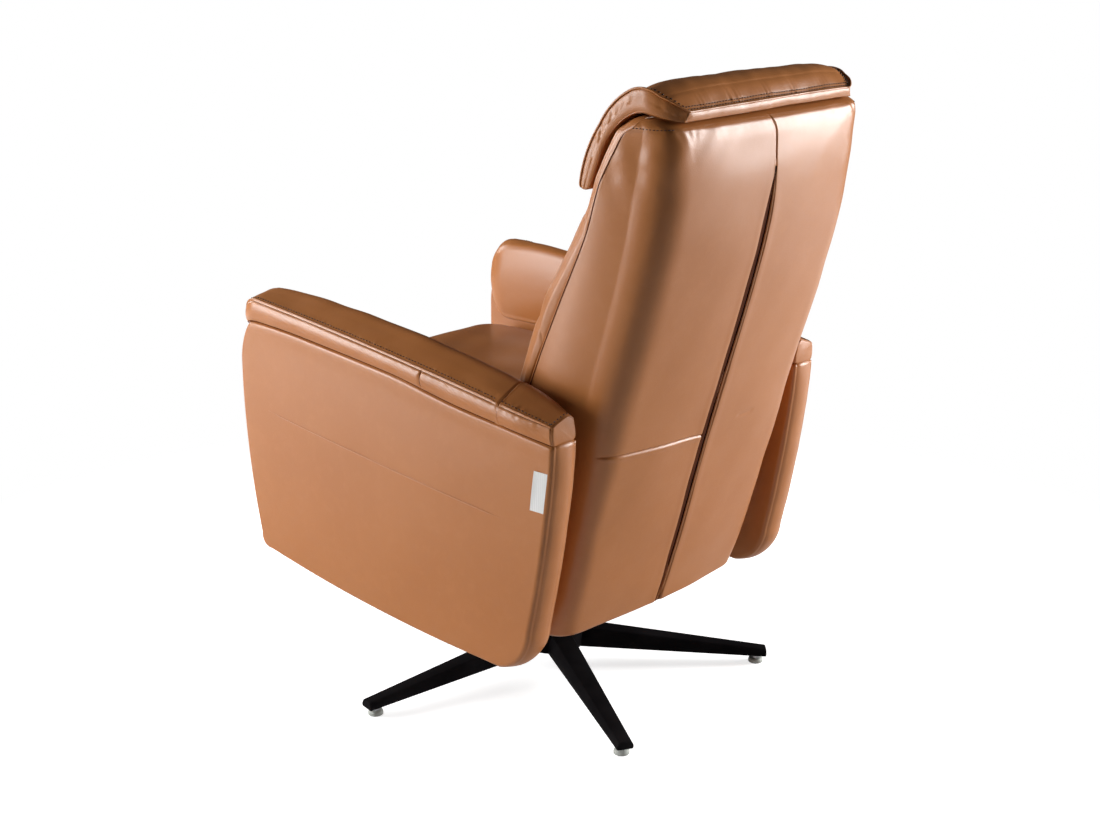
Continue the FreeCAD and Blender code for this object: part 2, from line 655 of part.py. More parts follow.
def panel_stays(panel, bar):
    """Two flat stays from the cross bar to the lower panel."""
    stays = []
    for x in (-165.0, 165.0):
        stay = box(x - 12, x + 12, STRUT_END_Y, STRUT_END_Y + 46.0, STRUT_END_Z - 5, STRUT_END_Z + 5)
        stays.append(stay.cut(panel).cut(bar))
    return Part.makeCompound(stays)


def strut_axis():
    """Unit vector along the gas strut, from its fixed end."""
    turn = math.radians(STRUT_FALL)
    return Vector(0, math.cos(turn), -math.sin(turn))


def strut_base():
    return Vector(STRUT_X, STRUT_BASE_Y, STRUT_BASE_Z)


def strut_body():
    """The pressure tube of the gas strut, closed at its fixed end and bored for the rod."""
    axis = strut_axis()
    base = strut_base()
    tube = Part.makeCylinder(STRUT_BODY_RADIUS, STRUT_BODY_END - 12, base + axis * 12, axis)
    bore = Part.makeCylinder(STRUT_ROD_RADIUS + PIN_CLEARANCE, STRUT_BODY_END, base + axis * 24, axis)
    eye = rod(STRUT_X - 6, STRUT_X + 6, STRUT_BASE_Y, STRUT_BASE_Z, 13.0)
    pin = rod(STRUT_X - 6, STRUT_X + 6, STRUT_BASE_Y, STRUT_BASE_Z, LINK_PIN_RADIUS)
    return tube.fuse(eye).cut(bore).cut(pin)


def strut_clevis():
    """A fork on top of the front cross tube, with the pin of the gas strut."""
    top = PLATE_BOTTOM_Z + PLATE_THICKNESS + CROSS_TUBE_HEIGHT
    foot = box(STRUT_X - 12, STRUT_X + 12, STRUT_BASE_Y - 13, STRUT_BASE_Y + 13, top, top + 5)
    cheeks = [box(STRUT_X + x - 2.5, STRUT_X + x + 2.5, STRUT_BASE_Y - 10, STRUT_BASE_Y + 10,
                  top + 5, STRUT_BASE_Z + 8) for x in (-9.5, 9.5)]
    pin = rod(STRUT_X - 12, STRUT_X + 12, STRUT_BASE_Y, STRUT_BASE_Z, LINK_PIN_RADIUS)
    return foot.fuse(cheeks + [pin]).removeSplitter()


def strut_rod():
    """The polished rod of the gas strut, with an open eye round the cross bar."""
    axis = strut_axis()
    reach = math.hypot(STRUT_END_Y - STRUT_BASE_Y, STRUT_END_Z - STRUT_BASE_Z)
    centre = strut_base() + axis * reach
    inner = STRUT_BAR_RADIUS + STRUT_EYE_CLEARANCE
    shank = Part.makeCylinder(STRUT_ROD_RADIUS, reach - STRUT_ROD_START - inner - 2,
                              strut_base() + axis * STRUT_ROD_START, axis)
    eye = rod(STRUT_X - 6, STRUT_X + 6, centre.y, centre.z, inner + 4)
    hole = rod(STRUT_X - 7, STRUT_X + 7, centre.y, centre.z, inner)
    return shank.fuse(eye).cut(hole)


def recline_pin():
    """The left recline pin, fixed in the chassis ear."""
    return rod(201.0, SIDE_PLATE_OUTER_X, RECLINE_Y, RECLINE_Z, RECLINE_PIN_RADIUS).fuse(
        rod(SIDE_PLATE_OUTER_X, SIDE_PLATE_OUTER_X + 4, RECLINE_Y, RECLINE_Z, RECLINE_PIN_RADIUS + 3))


# Footrest linkage

def footrest_shaft():
    """The torque shaft that turns both cranks together."""
    reach = CRANK_BAR_X + BAR_THICKNESS
    return rod(-reach, reach, *crank_pivot(), SHAFT_RADIUS)


def footrest_crank():
    """The left crank, keyed on the shaft, with the pin of the link in its end."""
    x0, x1 = CRANK_BAR_X, CRANK_BAR_X + BAR_THICKNESS
    bar = bar_between(*crank_pivot(), *crank_end(), BAR_HALF_WIDTH, x0, x1)
    boss = rod(x0, x1, *crank_pivot(), 14.0)
    bar = bar.fuse(boss).cut(rod(x0 - 1, x1 + 1, *crank_pivot(), SHAFT_RADIUS))
    return bar.fuse(rod(LINK_BAR_X - 0.7, x1, *crank_end(), LINK_PIN_RADIUS)).removeSplitter()


def footrest_link():
    """The left link from the crank to the footrest, with the pin for the control bar."""
    x0, x1 = LINK_BAR_X, LINK_BAR_X + BAR_THICKNESS
    bar = bar_between(*crank_end(), *pad_pivot(), BAR_HALF_WIDTH, x0, x1)
    bar = bar.cut(rod(x0 - 1, x1 + 1, *crank_end(), LINK_PIN_RADIUS + PIN_CLEARANCE))
    bar = bar.cut(rod(x0 - 1, x1 + 1, *pad_pivot(), CROSS_ROD_RADIUS))
    return bar.fuse(rod(CONTROL_BAR_X, x1, *control_end(), LINK_PIN_RADIUS)).removeSplitter()


def control_pin():
    """The left pin of the control bar, fixed in the chassis plate."""
    return rod(SIDE_PLATE_INNER_X, CONTROL_BAR_X + BAR_THICKNESS, *control_pivot(), LINK_PIN_RADIUS)


def control_bar():
    """The left control bar, which keeps the link at its angle."""
    x0, x1 = CONTROL_BAR_X, CONTROL_BAR_X + BAR_THICKNESS
    bar = bar_between(*control_pivot(), *control_end(), BAR_HALF_WIDTH, x0, x1)
    bar = bar.cut(rod(x0 - 1, x1 + 1, *control_pivot(), LINK_PIN_RADIUS + PIN_CLEARANCE))
    return bar.cut(rod(x0 - 1, x1 + 1, *control_end(), LINK_PIN_RADIUS + OPEN_PIVOT_CLEARANCE))


def footrest_rod():
    """The rod across the front ends of the links, on which the footrest turns."""
    reach = CRANK_BAR_X + BAR_THICKNESS
    return rod(-reach, reach, *pad_pivot(), CROSS_ROD_RADIUS)


def footrest_bracket():
    """The left bracket on the back of the footrest board."""
    x0, x1 = CRANK_BAR_X, CRANK_BAR_X + BAR_THICKNESS
    y, z = pad_pivot()
    board_y = forward(PAD_BOARD_FORWARD)
    foot = box(x0, x1, board_y, y, z - 28, z + 28)
    ear = rod(x0, x1, y, z, 12.0)
    keep = box(x0 - 1, x1 + 1, board_y, y + 40, z - 60, z + 60)
    bracket = foot.fuse(ear).common(keep)
    return bracket.cut(rod(x0 - 1, x1 + 1, y, z, CROSS_ROD_RADIUS + PIN_CLEARANCE))


def footrest_board():
    y = forward(PAD_BOARD_FORWARD + PAD_BOARD_THICKNESS)
    return box(-PAD_HALF_WIDTH + 4, PAD_HALF_WIDTH - 4, y, y + PAD_BOARD_THICKNESS,
               PAD_BOTTOM_Z + 4, PAD_TOP_Z - 4)


def footrest_cushion():
    """The footrest pad, crowned towards the front and drawn in at its edges."""
    middle_z = (PAD_BOTTOM_Z + PAD_TOP_Z) / 2
    half_z = (PAD_TOP_Z - PAD_BOTTOM_Z) / 2
    back = PAD_BOARD_FORWARD + PAD_BOARD_THICKNESS
    depth = PAD_FRONT_FORWARD - back
    wires = []
    for share, inset in ((0.0, 3.0), (0.25, 0.0), (0.5, 1.0), (0.75, 6.0), (0.9, 14.0), (0.97, 28.0),
                         (1.0, 52.0)):
        flat = rounded_rectangle(PAD_HALF_WIDTH - inset, -half_z + inset, half_z - inset, 0.0, 20.0, 1, 1, 1)
        flat.rotate(Vector(0, 0, 0), Vector(1, 0, 0), 90)
        flat.translate(Vector(0, forward(back + depth * share), middle_z))
        wires.append(flat)
    return loft(wires, ruled=True)


# Headrest

def head_wire(x, scale):
    """The headrest in side view: a pad folded over the top edge of the back."""
    s = scale

    def at(y, z):
        return Vector(x, HEAD_CENTRE_Y + (y - HEAD_CENTRE_Y) * s, HEAD_CENTRE_Z + (z - HEAD_CENTRE_Z) * s)

    tip_front, front, top_front, top, top_rear, rear = (
        at(262, 922), at(262, 975), at(314, 1043), at(366, 1070), at(412, 1065), at(434, 1042))
    rear_low, under_rear, under_top, under_front, tip_rear = (
        at(431, 1026), at(372, 1032), at(330, 1018), at(296, 968), at(281, 918))
    edges = [arc(tip_front, front, top_front), arc(top_front, top, top_rear),
             arc(top_rear, at(427, 1056), rear), line(rear, rear_low), line(rear_low, under_rear),
             arc(under_rear, under_top, under_front), line(under_front, tip_rear),
             arc(tip_rear, at(269, 914), tip_front)]
    return Part.Wire(edges)


def head_cushion():
    """The headrest pad, with rounded ends and narrower at its rear edge."""
    wires = []
    shrinks = ((0.0, 0.86), (3.0, 0.92), (9.0, 0.96), (20.0, 0.985), (46.0, 1.0))
    for inset, scale in shrinks:
        wires.append(head_wire(-HEAD_HALF_WIDTH + inset, scale))
    for inset, scale in reversed(shrinks):
        wires.append(head_wire(HEAD_HALF_WIDTH - inset, scale))
    pad = loft(wires, ruled=True)
    taper = [Vector(HEAD_HALF_WIDTH, 340, 900), Vector(HEAD_HALF_WIDTH + 20, 340, 900),
             Vector(HEAD_HALF_WIDTH + 20, 434, 900), Vector(HEAD_REAR_HALF_WIDTH, 434, 900)]
    wedge = Part.Face(Part.makePolygon(taper + taper[:1])).extrude(Vector(0, 0, 200))
    return pad.cut(wedge).cut(mirrored(wedge, -1))


def head_plates():
    """Two steel arms that carry the headrest and turn on its hinge pins."""
    arms = []
    for side in (-1, 1):
        x0 = HEAD_LUG_X + HEAD_PLATE_THICKNESS + 0.4
        arm = bar_between(HEAD_HINGE_Y, HEAD_HINGE_Z, 288.0, 985.0, 8.0, x0, x0 + HEAD_PLATE_THICKNESS)
        arm = arm.cut(rod(x0 - 1, x0 + 9, HEAD_HINGE_Y, HEAD_HINGE_Z, HEAD_PIN_RADIUS + PIN_CLEARANCE))
        arms.append(mirrored(arm, side))
    return Part.makeCompound(arms)


def head_lugs():
    """Two steel lugs on the top rail of the back frame."""
    lugs = []
    for side in (-1, 1):
        x0 = HEAD_LUG_X
        rail_y = upright_line(930.0) - 10
        lug = prism_x([(HEAD_HINGE_Y - 7, HEAD_HINGE_Z - 9), (rail_y, 918), (rail_y, 940),
                       (HEAD_HINGE_Y - 3, HEAD_HINGE_Z + 9)], x0, x0 + HEAD_PLATE_THICKNESS)
        pin = rod(x0, x0 + 2 * HEAD_PLATE_THICKNESS + 3, HEAD_HINGE_Y, HEAD_HINGE_Z, HEAD_PIN_RADIUS)
        lugs.append(mirrored(lug.fuse(pin), side))
    return Part.makeCompound(lugs)


def both(shape):
    """A left piece and its mirror image as one group."""
    return Part.makeCompound([mirrored(shape, side) for _, side in SIDES])


def zip_tape(pad):
    """The closed zip down the middle of the rear cover, standing 1 mm proud of it."""
    tape = box(-5, 5, 200, 470, 425, 985)
    return tape.common(pad.translated(Vector(0, 1.0, 0))).cut(pad)


def save_base():
    for index in range(LEG_COUNT):
        save(f"base_leg_{index + 1}", star_leg(index))
    pads, studs = glides()
    save("glide_pads", pads)
    save("glide_studs", studs)
    save("base_hub", hub())
    spindle, cap, bearing, sleeve, plate = swivel_column()
    save("swivel_spindle", spindle)
    save("spindle_cap", cap)
    save("thrust_bearing", bearing)
    save("swivel_sleeve", sleeve)
    save("swivel_plate", plate)


def save_chassis():
    save("plate_bolts", plate_bolts())
    save("cross_tubes", Part.makeCompound([cross_tube(y) for y in CROSS_TUBE_YS]))
    save("arm_brackets", both(arm_brackets()))
    save("recline_pins", both(recline_pin()))
    save("control_pins", both(control_pin()))
    for name, side in SIDES:
        save(f"chassis_plate_{name}", mirrored(side_plate(), side))
        save(f"control_bar_{name}", mirrored(control_bar(), side))
    save("strut_clevis", strut_clevis())
    save("strut_body", strut_body())
    save("strut_rod", strut_rod())
    save("seat_frame", seat_frame())
    save("seat_webbing", seat_springs())
    save("seat_cushion", seat_cushion())


def save_footrest():
    save("footrest_cranks", both(footrest_crank()))
    save("footrest_links", both(footrest_link()))
    save("footrest_brackets", both(footrest_bracket()))
    save("footrest_shaft", footrest_shaft())
    save("footrest_rod", footrest_rod())
    save("footrest_board", footrest_board())
    save("footrest_cushion", footrest_cushion())


def save_arms():
    arm = arm_parts()
    for name, side in SIDES:
        for part_name, shape in arm.items():
            save(f"{part_name}_{name}", mirrored(shape, side))


def save_back():
    uprights = both(back_upright())
    brackets = both(back_bracket())
    rails = back_rails()
    lugs = head_lugs()
    rear_pad = back_rear_pad()
    save("back_zip", zip_tape(rear_pad))
    for group in (uprights, brackets, rails, lugs):
        for solid in group.Solids:
            rear_pad = rear_pad.cut(solid)
    cushion = back_cushion()
    for solid in brackets.Solids + lugs.Solids + both(box(112, 122.5, 255, 302, 890, 960)).Solids:
        cushion = cushion.cut(solid)
    panel = back_lower_panel()
    bar = strut_bar()
    save("back_uprights", uprights)
    save("back_brackets", brackets)
    save("back_rails", rails)
    save("back_rear_pad", rear_pad)
    save("back_cushion", cushion)
    save("back_lower_panel", panel)
    save("strut_bar", bar)
    save("panel_stays", panel_stays(panel, bar))
    save("headrest_lugs", lugs)


def save_headrest():
    plates = head_plates()
    head = head_cushion()
    for solid in plates.Solids:
        head = head.cut(solid)
    save("headrest_arms", plates)
    save("headrest_pad", head)


def main():
    save_base()
    save_chassis()
    save_footrest()
    save_arms()
    save_back()
    save_headrest()


main()
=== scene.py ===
"""The look of a swivel recliner in tan leather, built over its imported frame."""

import json
import logging
import math
from dataclasses import dataclass, field
from enum import Enum
from typing import Sequence, Union

import bmesh
import bpy
import numpy as np
from mathutils import Matrix, Vector
from mathutils.bvhtree import BVHTree


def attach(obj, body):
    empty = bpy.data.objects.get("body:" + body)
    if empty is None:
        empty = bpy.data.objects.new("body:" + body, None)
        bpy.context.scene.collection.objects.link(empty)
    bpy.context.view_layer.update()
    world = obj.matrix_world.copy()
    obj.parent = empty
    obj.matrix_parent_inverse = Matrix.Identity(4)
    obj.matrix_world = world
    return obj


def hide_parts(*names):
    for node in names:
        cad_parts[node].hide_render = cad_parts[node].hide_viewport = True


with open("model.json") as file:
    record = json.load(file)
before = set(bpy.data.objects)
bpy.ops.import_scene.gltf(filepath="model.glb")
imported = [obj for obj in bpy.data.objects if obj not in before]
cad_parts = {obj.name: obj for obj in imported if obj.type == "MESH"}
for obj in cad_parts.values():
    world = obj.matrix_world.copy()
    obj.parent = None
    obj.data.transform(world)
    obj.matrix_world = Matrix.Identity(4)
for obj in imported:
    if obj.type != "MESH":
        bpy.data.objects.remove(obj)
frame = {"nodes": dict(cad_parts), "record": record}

log = logging.getLogger("recliner")

MM = 0.001
WHITE = (1, 1, 1, 1)
CORD_HINT = np.array([0.31, 0.17, 0.94])
LEATHER = "tan_leather"
Colour = tuple[float, float, float]
Number = Union[float, "Wire"]
Array = np.ndarray
Object = bpy.types.Object
Material = bpy.types.Material


class Side(Enum):
    """Which arm of the chair, with its sign along X."""

    LEFT = 1
    RIGHT = -1


# Shader maths

class Wire:
    """One value of a shader, so that maths on such values reads as maths."""

    def __init__(self, board: "Board", socket: bpy.types.NodeSocket) -> None:
        """Keep the board and the socket that gives the value."""
        self.board = board
        self.socket = socket

    def maths(self, operation: str, *others: Number) -> "Wire":
        """Join this value to others in one Math node.

        Args:
            operation: the Math node's operation.
            *others: further values or plain numbers.

        Returns:
            The result.
        """
        values = {0: self}
        values.update({index + 1: other for index, other in enumerate(others)})
        return self.board.make("ShaderNodeMath", {"operation": operation}, values).out(0)

    def reflected(self, operation: str, first: float) -> "Wire":
        """A Math node with a plain number in front of this value."""
        return self.board.make("ShaderNodeMath", {"operation": operation}, {0: first, 1: self}).out(0)

    def __add__(self, other: Number) -> "Wire":
        """Sum."""
        return self.maths("ADD", other)

    def __radd__(self, other: float) -> "Wire":
        """Sum with a plain number in front."""
        return self.reflected("ADD", other)

    def __sub__(self, other: Number) -> "Wire":
        """Difference."""
        return self.maths("SUBTRACT", other)

    def __rsub__(self, other: float) -> "Wire":
        """Difference from a plain number."""
        return self.reflected("SUBTRACT", other)

    def __mul__(self, other: Number) -> "Wire":
        """Product."""
        return self.maths("MULTIPLY", other)

    def __rmul__(self, other: float) -> "Wire":
        """Product with a plain number in front."""
        return self.reflected("MULTIPLY", other)

    def fade(self, low: float, high: float, start: float = 0, end: float = 1) -> "Wire":
        """Map low..high smoothly to start..end.

        Args:
            low: value that maps to start.
            high: value that maps to end.
            start: first result.
            end: last result.

        Returns:
            The mapped value.
        """
        return self.board.make("ShaderNodeMapRange", {"interpolation_type": "SMOOTHSTEP"},
                               {"Value": self, "From Min": low, "From Max": high,
                                "To Min": start, "To Max": end}).out("Result")


class Piece:
    """One node of a board."""

    def __init__(self, board: "Board", node: bpy.types.Node) -> None:
        """Keep the board and the node."""
        self.board = board
        self.node = node

    def out(self, key: Union[int, str]) -> Wire:
        """One output of the node as a value."""
        return Wire(self.board, self.node.outputs[key])


class Board:
    """The node tree of one material or of the world."""

    def __init__(self, owner: Union[str, bpy.types.World]) -> None:
        """Start an empty material of that name, or empty the nodes of a world.

        Args:
            owner: a name for a new material, or a world.
        """
        self.material = bpy.data.materials.new(owner) if isinstance(owner, str) else owner
        self.material.use_nodes = True
        self.tree = self.material.node_tree
        self.tree.nodes.clear()

    def make(self, kind: str, settings: dict, values: dict) -> Piece:
        """Add a node.

        Args:
            kind: type name of the node.
            settings: properties of the node, set first.
            values: plain values or wires for its inputs, by name or place.

        Returns:
            The new node.
        """
        node = self.tree.nodes.new(kind)
        for key, value in settings.items():
            setattr(node, key, value)
        for key, value in values.items():
            socket = node.inputs[key]
            if isinstance(value, Wire):
                self.tree.links.new(value.socket, socket)
            else:
                socket.default_value = value
        return Piece(self, node)

    def place(self, stretch: Sequence[float] = (1, 1, 1)) -> Wire:
        """The point on the object, in metres, stretched along its axes."""
        point = self.make("ShaderNodeTexCoord", {}, {}).out("Object")
        return self.make("ShaderNodeMapping", {}, {"Vector": point, "Scale": tuple(stretch)}).out("Vector")

    def axes(self) -> tuple[Wire, Wire, Wire]:
        """The X, Y and Z of the point on the object, in metres."""
        split = self.make("ShaderNodeSeparateXYZ", {}, {0: self.place()})
        return split.out(0), split.out(1), split.out(2)

    def cloud(self, scale: float, detail: float = 3, rough: float = 0.5,
              stretch: Sequence[float] = (1, 1, 1)) -> Wire:
        """Soft noise from 0 to 1."""
        return self.make("ShaderNodeTexNoise", {}, {"Vector": self.place(stretch), "Scale": scale,
                                                    "Detail": detail, "Roughness": rough}).out("Fac")

    def cells(self, scale: float) -> Wire:
        """Distance to the middle of the nearest grain cell."""
        return self.make("ShaderNodeTexVoronoi", {"feature": "SMOOTH_F1"},
                         {"Vector": self.place(), "Scale": scale, "Smoothness": 0.35}).out("Distance")

    def blend(self, share: Number, first: Union[Colour, Wire], second: Union[Colour, Wire]) -> Wire:
        """Mix two colours.

        Args:
            share: how much of the second colour there is.
            first: the colour at share 0.
            second: the colour at share 1.

        Returns:
            The mixed colour.
        """
        def full(value: Union[Colour, Wire]) -> Union[Wire, tuple]:
            """A wire as it is, or a plain colour with its alpha."""
            return value if isinstance(value, Wire) else (*value, 1)

        node = self.make("ShaderNodeMix", {"data_type": "RGBA"}, {0: share, 6: full(first), 7: full(second)})
        return Wire(self, node.node.outputs[2])

    def bump(self, height: Wire, depth: float, strength: float = 1) -> Wire:
        """A normal from a height of 0 to 1 that stands for depth metres."""
        return self.make("ShaderNodeBump", {}, {"Height": height, "Distance": depth,
                                                "Strength": strength}).out("Normal")

    def finish(self, values: dict) -> Material:
        """Close the material with one principled shader.

        Args:
            values: plain values or wires for the shader's inputs.

        Returns:
            The finished material.
        """
        shader = self.make("ShaderNodeBsdfPrincipled", {}, values)
        self.make("ShaderNodeOutputMaterial", {}, {"Surface": shader.out("BSDF")})
        return self.material


# Finishes

@dataclass(frozen=True)
class Leather:
    """Smooth upholstery leather with a fine grain."""

    name: str
    mid: Colour = (0.412, 0.152, 0.043)
    deep: Colour = (0.388, 0.138, 0.037)
    pale: Colour = (0.440, 0.170, 0.053)
    roughness: float = 0.31
    index: float = 1.45
    grain: float = 620
    grain_depth: float = 0.00016

    def paint(self) -> Material:
        """Build the material.

        Returns:
            The material.
        """
        board = Board(self.name)
        hide = board.cloud(3.1, 4, 0.55)
        fine = board.cloud(46, 5, 0.6)
        colour = board.blend(hide.fade(0.30, 0.70), self.deep, self.mid)
        colour = board.blend(fine.fade(0.42, 0.78, 0, 0.35), colour, self.pale)
        cells = board.cells(self.grain)
        pores = board.cells(self.grain * 2.3)
        height = cells * 0.65 + pores * 0.35 + fine * 0.6
        normal = board.bump(height, self.grain_depth, 0.8)
        rough = (hide * 0.10 + cells * 0.12) + (self.roughness - 0.08)
        return board.finish({"Base Color": colour, "Roughness": rough, "Normal": normal, "IOR": self.index})


@dataclass(frozen=True)
class Coat:
    """Satin powder coat or dark paint on steel."""

    name: str
    colour: Colour = (0.0062, 0.0055, 0.0062)
    roughness: float = 0.44

    def paint(self) -> Material:
        """Build the material.

        Returns:
            The material.
        """
        board = Board(self.name)
        speck = board.cloud(900, 2, 0.5)
        wave = board.cloud(9, 3, 0.5)
        pale = tuple(min(1, value * 1.7 + 0.004) for value in self.colour)
        colour = board.blend(wave.fade(0.35, 0.75), self.colour, pale)
        rough = wave * 0.12 + speck * 0.10 + (self.roughness - 0.10)
        return board.finish({"Base Color": colour, "Roughness": rough,
                             "Normal": board.bump(speck, 0.00006, 0.7), "IOR": 1.04})


@dataclass(frozen=True)
class Steel:
    """Drawn bright steel."""

    name: str
    colour: Colour = (0.56, 0.56, 0.58)

    def paint(self) -> Material:
        """Build the material.

        Returns:
            The material.
        """
        board = Board(self.name)
        lines = board.cloud(700, 3, 0.6, (0.05, 1, 1))
        stain = board.cloud(14, 4, 0.6)
        dull = tuple(value * 0.62 for value in self.colour)
        colour = board.blend(stain.fade(0.30, 0.75), dull, self.colour)
        return board.finish({"Base Color": colour, "Metallic": 1, "Roughness": lines * 0.22 + 0.20,
                             "Normal": board.bump(lines, 0.00003, 0.6)})


@dataclass(frozen=True)
class Moulding:
    """Matt moulded plastic."""

    name: str
    colour: Colour = (0.52, 0.54, 0.50)

    def paint(self) -> Material:
        """Build the material.

        Returns:
            The material.
        """
        board = Board(self.name)
        skin = board.cloud(520, 3, 0.5)
        scuff = board.cloud(60, 4, 0.6)
        dark = tuple(value * 0.72 for value in self.colour)
        colour = board.blend(scuff.fade(0.40, 0.80), self.colour, dark)
        return board.finish({"Base Color": colour, "Roughness": scuff * 0.2 + 0.42,
                             "Normal": board.bump(skin, 0.00006, 0.6)})


@dataclass(frozen=True)
class Plywood:
    """Bare plywood, with its grain along X."""

    name: str

    def paint(self) -> Material:
        """Build the material.

        Returns:
            The material.
        """
        board = Board(self.name)
        grain = board.cloud(70, 6, 0.65, (0.08, 1, 1))
        figure = board.cloud(6, 3, 0.5, (0.3, 1, 1))
        colour = board.blend(grain.fade(0.35, 0.70), (0.42, 0.27, 0.14), (0.66, 0.49, 0.30))
        colour = board.blend(figure.fade(0.45, 0.80, 0, 0.5), colour, (0.50, 0.33, 0.18))
        return board.finish({"Base Color": colour, "Roughness": grain * 0.2 + 0.55,
                             "Normal": board.bump(grain, 0.0002, 0.5)})


@dataclass(frozen=True)
class Webbing:
    """Woven elastic straps."""

    name: str
    colour: Colour = (0.055, 0.048, 0.045)
    pale: Colour = (0.16, 0.14, 0.13)

    def paint(self) -> Material:
        """Build the material.

        Returns:
            The material.
        """
        board = Board(self.name)
        across, along, _ = board.axes()
        weft = (across * 2100).maths("SINE") * 0.5 + 0.5
        warp = (along * 1700).maths("SINE") * 0.5 + 0.5
        weave = weft * warp
        fluff = board.cloud(300, 4, 0.6)
        colour = board.blend(weave * 0.7 + fluff * 0.3, self.colour, self.pale)
        return board.finish({"Base Color": colour, "Roughness": fluff * 0.1 + 0.78,
                             "Normal": board.bump(weave + fluff * 0.4, 0.0003, 0.8)})


@dataclass(frozen=True)
class Thread:
    """Waxed sewing thread, coloured dark brown as painted shade of its needle holes; the real thread is tan.
    """

    name: str
    # Dark brown: painted shade of the needle holes, not the thread's own colour.
    colour: Colour = (0.055, 0.022, 0.010)

    def paint(self) -> Material:
        """Build the material.

        Returns:
            The material.
        """
        board = Board(self.name)
        twist = board.cloud(1900, 2, 0.5)
        dark = tuple(value * 0.55 for value in self.colour)
        colour = board.blend(twist.fade(0.3, 0.7), dark, self.colour)
        return board.finish({"Base Color": colour, "Roughness": twist * 0.2 + 0.45,
                             "Normal": board.bump(twist, 0.0001, 0.7)})


# Surfaces

@dataclass(frozen=True)
class Curve:
    """A smooth curve through (position, value) pairs."""

    pairs: tuple[tuple[float, float], ...]

    def __call__(self, position: Union[float, Array]) -> Array:
        """Read the curve at one position or at many.

        Args:
            position: one position or an array of them.

        Returns:
            The value at each position.
        """
        xs, vs = np.array(self.pairs, float).T
        slopes = np.empty_like(vs)
        slopes[1:-1] = (vs[2:] - vs[:-2]) / (xs[2:] - xs[:-2])
        slopes[0] = (vs[1] - vs[0]) / (xs[1] - xs[0])
        slopes[-1] = (vs[-1] - vs[-2]) / (xs[-1] - xs[-2])
        place = np.clip(np.asarray(position, float), xs[0], xs[-1])
        i = np.clip(np.searchsorted(xs, place, side="right") - 1, 0, len(xs) - 2)
        run = xs[i + 1] - xs[i]
        t = (place - xs[i]) / run
        return ((2 * t ** 3 - 3 * t ** 2 + 1) * vs[i] + (t ** 3 - 2 * t ** 2 + t) * run * slopes[i]
                + (3 * t ** 2 - 2 * t ** 3) * vs[i + 1] + (t ** 3 - t ** 2) * run * slopes[i + 1])


def step(value: Array, low: float, high: float) -> Array:
    """A smooth rise from 0 at low to 1 at high, or a fall where low is above high."""
    t = np.clip((np.asarray(value, float) - low) / (high - low), 0, 1)
    return t * t * (3 - 2 * t)


def groove(distance: Array, width: float) -> Array:
    """A bell shape around distance 0."""
    return np.exp(-(np.asarray(distance, float) / width) ** 2)


def ripple(points: Array, length: float, seed: int, waves: int = 7) -> Array:
    """Soft uneven waves over points, about -1 to 1.

    Args:
        points: array of points in millimetres, last axis x, y, z.
        length: typical wave length in millimetres.
        seed: fixes the pattern.
        waves: how many waves are added.

    Returns:
        One height for each point.
    """
    pick = np.random.default_rng(seed)
    total = np.zeros(points.shape[:-1])
    for _ in range(waves):
        way = pick.normal(size=3)
        way = way / np.linalg.norm(way) * pick.uniform(0.65, 1.5) * 2 * math.pi / length
        total += np.sin(points @ way + pick.uniform(0, 2 * math.pi))
    return total / math.sqrt(waves) * 0.75


def arc_points(start: Sequence[float], middle: Sequence[float], end: Sequence[float],
               count: int) -> Array:
    """Points along the circle arc through three points in a plane, without the last one.

    Args:
        start: first point of the arc.
        middle: a point of the arc between its ends.
        end: last point, which is left out.
        count: how many points there are.

    Returns:
        The points.
    """
    a, b, c = (np.array(p, float) for p in (start, middle, end))
    d = 2 * (a[0] * (b[1] - c[1]) + b[0] * (c[1] - a[1]) + c[0] * (a[1] - b[1]))
    share = np.linspace(0, 1, count, endpoint=False)
    if abs(d) < 1e-6:
        return a + (c - a) * share[:, None]
    squares = [p @ p for p in (a, b, c)]
    centre = np.array([
        (squares[0] * (b[1] - c[1]) + squares[1] * (c[1] - a[1]) + squares[2] * (a[1] - b[1])) / d,
        (squares[0] * (c[0] - b[0]) + squares[1] * (a[0] - c[0]) + squares[2] * (b[0] - a[0])) / d])
    turns = [math.atan2(*(p - centre)[::-1]) for p in (a, b, c)]
    sweep = (turns[2] - turns[0]) % (2 * math.pi)
    if (turns[1] - turns[0]) % (2 * math.pi) > sweep:
        sweep -= 2 * math.pi
    angles = turns[0] + sweep * share
    radius = np.linalg.norm(a - centre)
    return centre + radius * np.stack([np.cos(angles), np.sin(angles)], 1)


def line_points(start: Sequence[float], end: Sequence[float], count: int) -> Array:
    """Points along a straight line in a plane, without the last one."""
    a, b = np.array(start, float), np.array(end, float)
    return a + (b - a) * np.linspace(0, 1, count, endpoint=False)[:, None]


def sweep_curve(points: Array, step_length: float) -> Array:
    """The same path with evenly spaced points.

    Args:
        points: the path.
        step_length: about how far apart the new points lie.

    Returns:
        The new points.
    """
    gaps = np.linalg.norm(np.diff(points, axis=0), axis=1)
    along = np.concatenate([[0], np.cumsum(gaps)])
    places = np.linspace(0, along[-1], max(2, int(along[-1] / step_length) + 1))
    return np.stack([np.interp(places, along, points[:, axis]) for axis in range(points.shape[1])], 1)


def smoothed(points: Array, rounds: int) -> Array:
    """The same open path with its corners softened.

    Args:
        points: the path.
        rounds: how often it is softened.

    Returns:
        The softened path.
    """
    for _ in range(rounds):
        inner = (points[:-2] + points[1:-1] * 2 + points[2:]) / 4
        points = np.concatenate([points[:1], inner, points[-1:]])
    return points


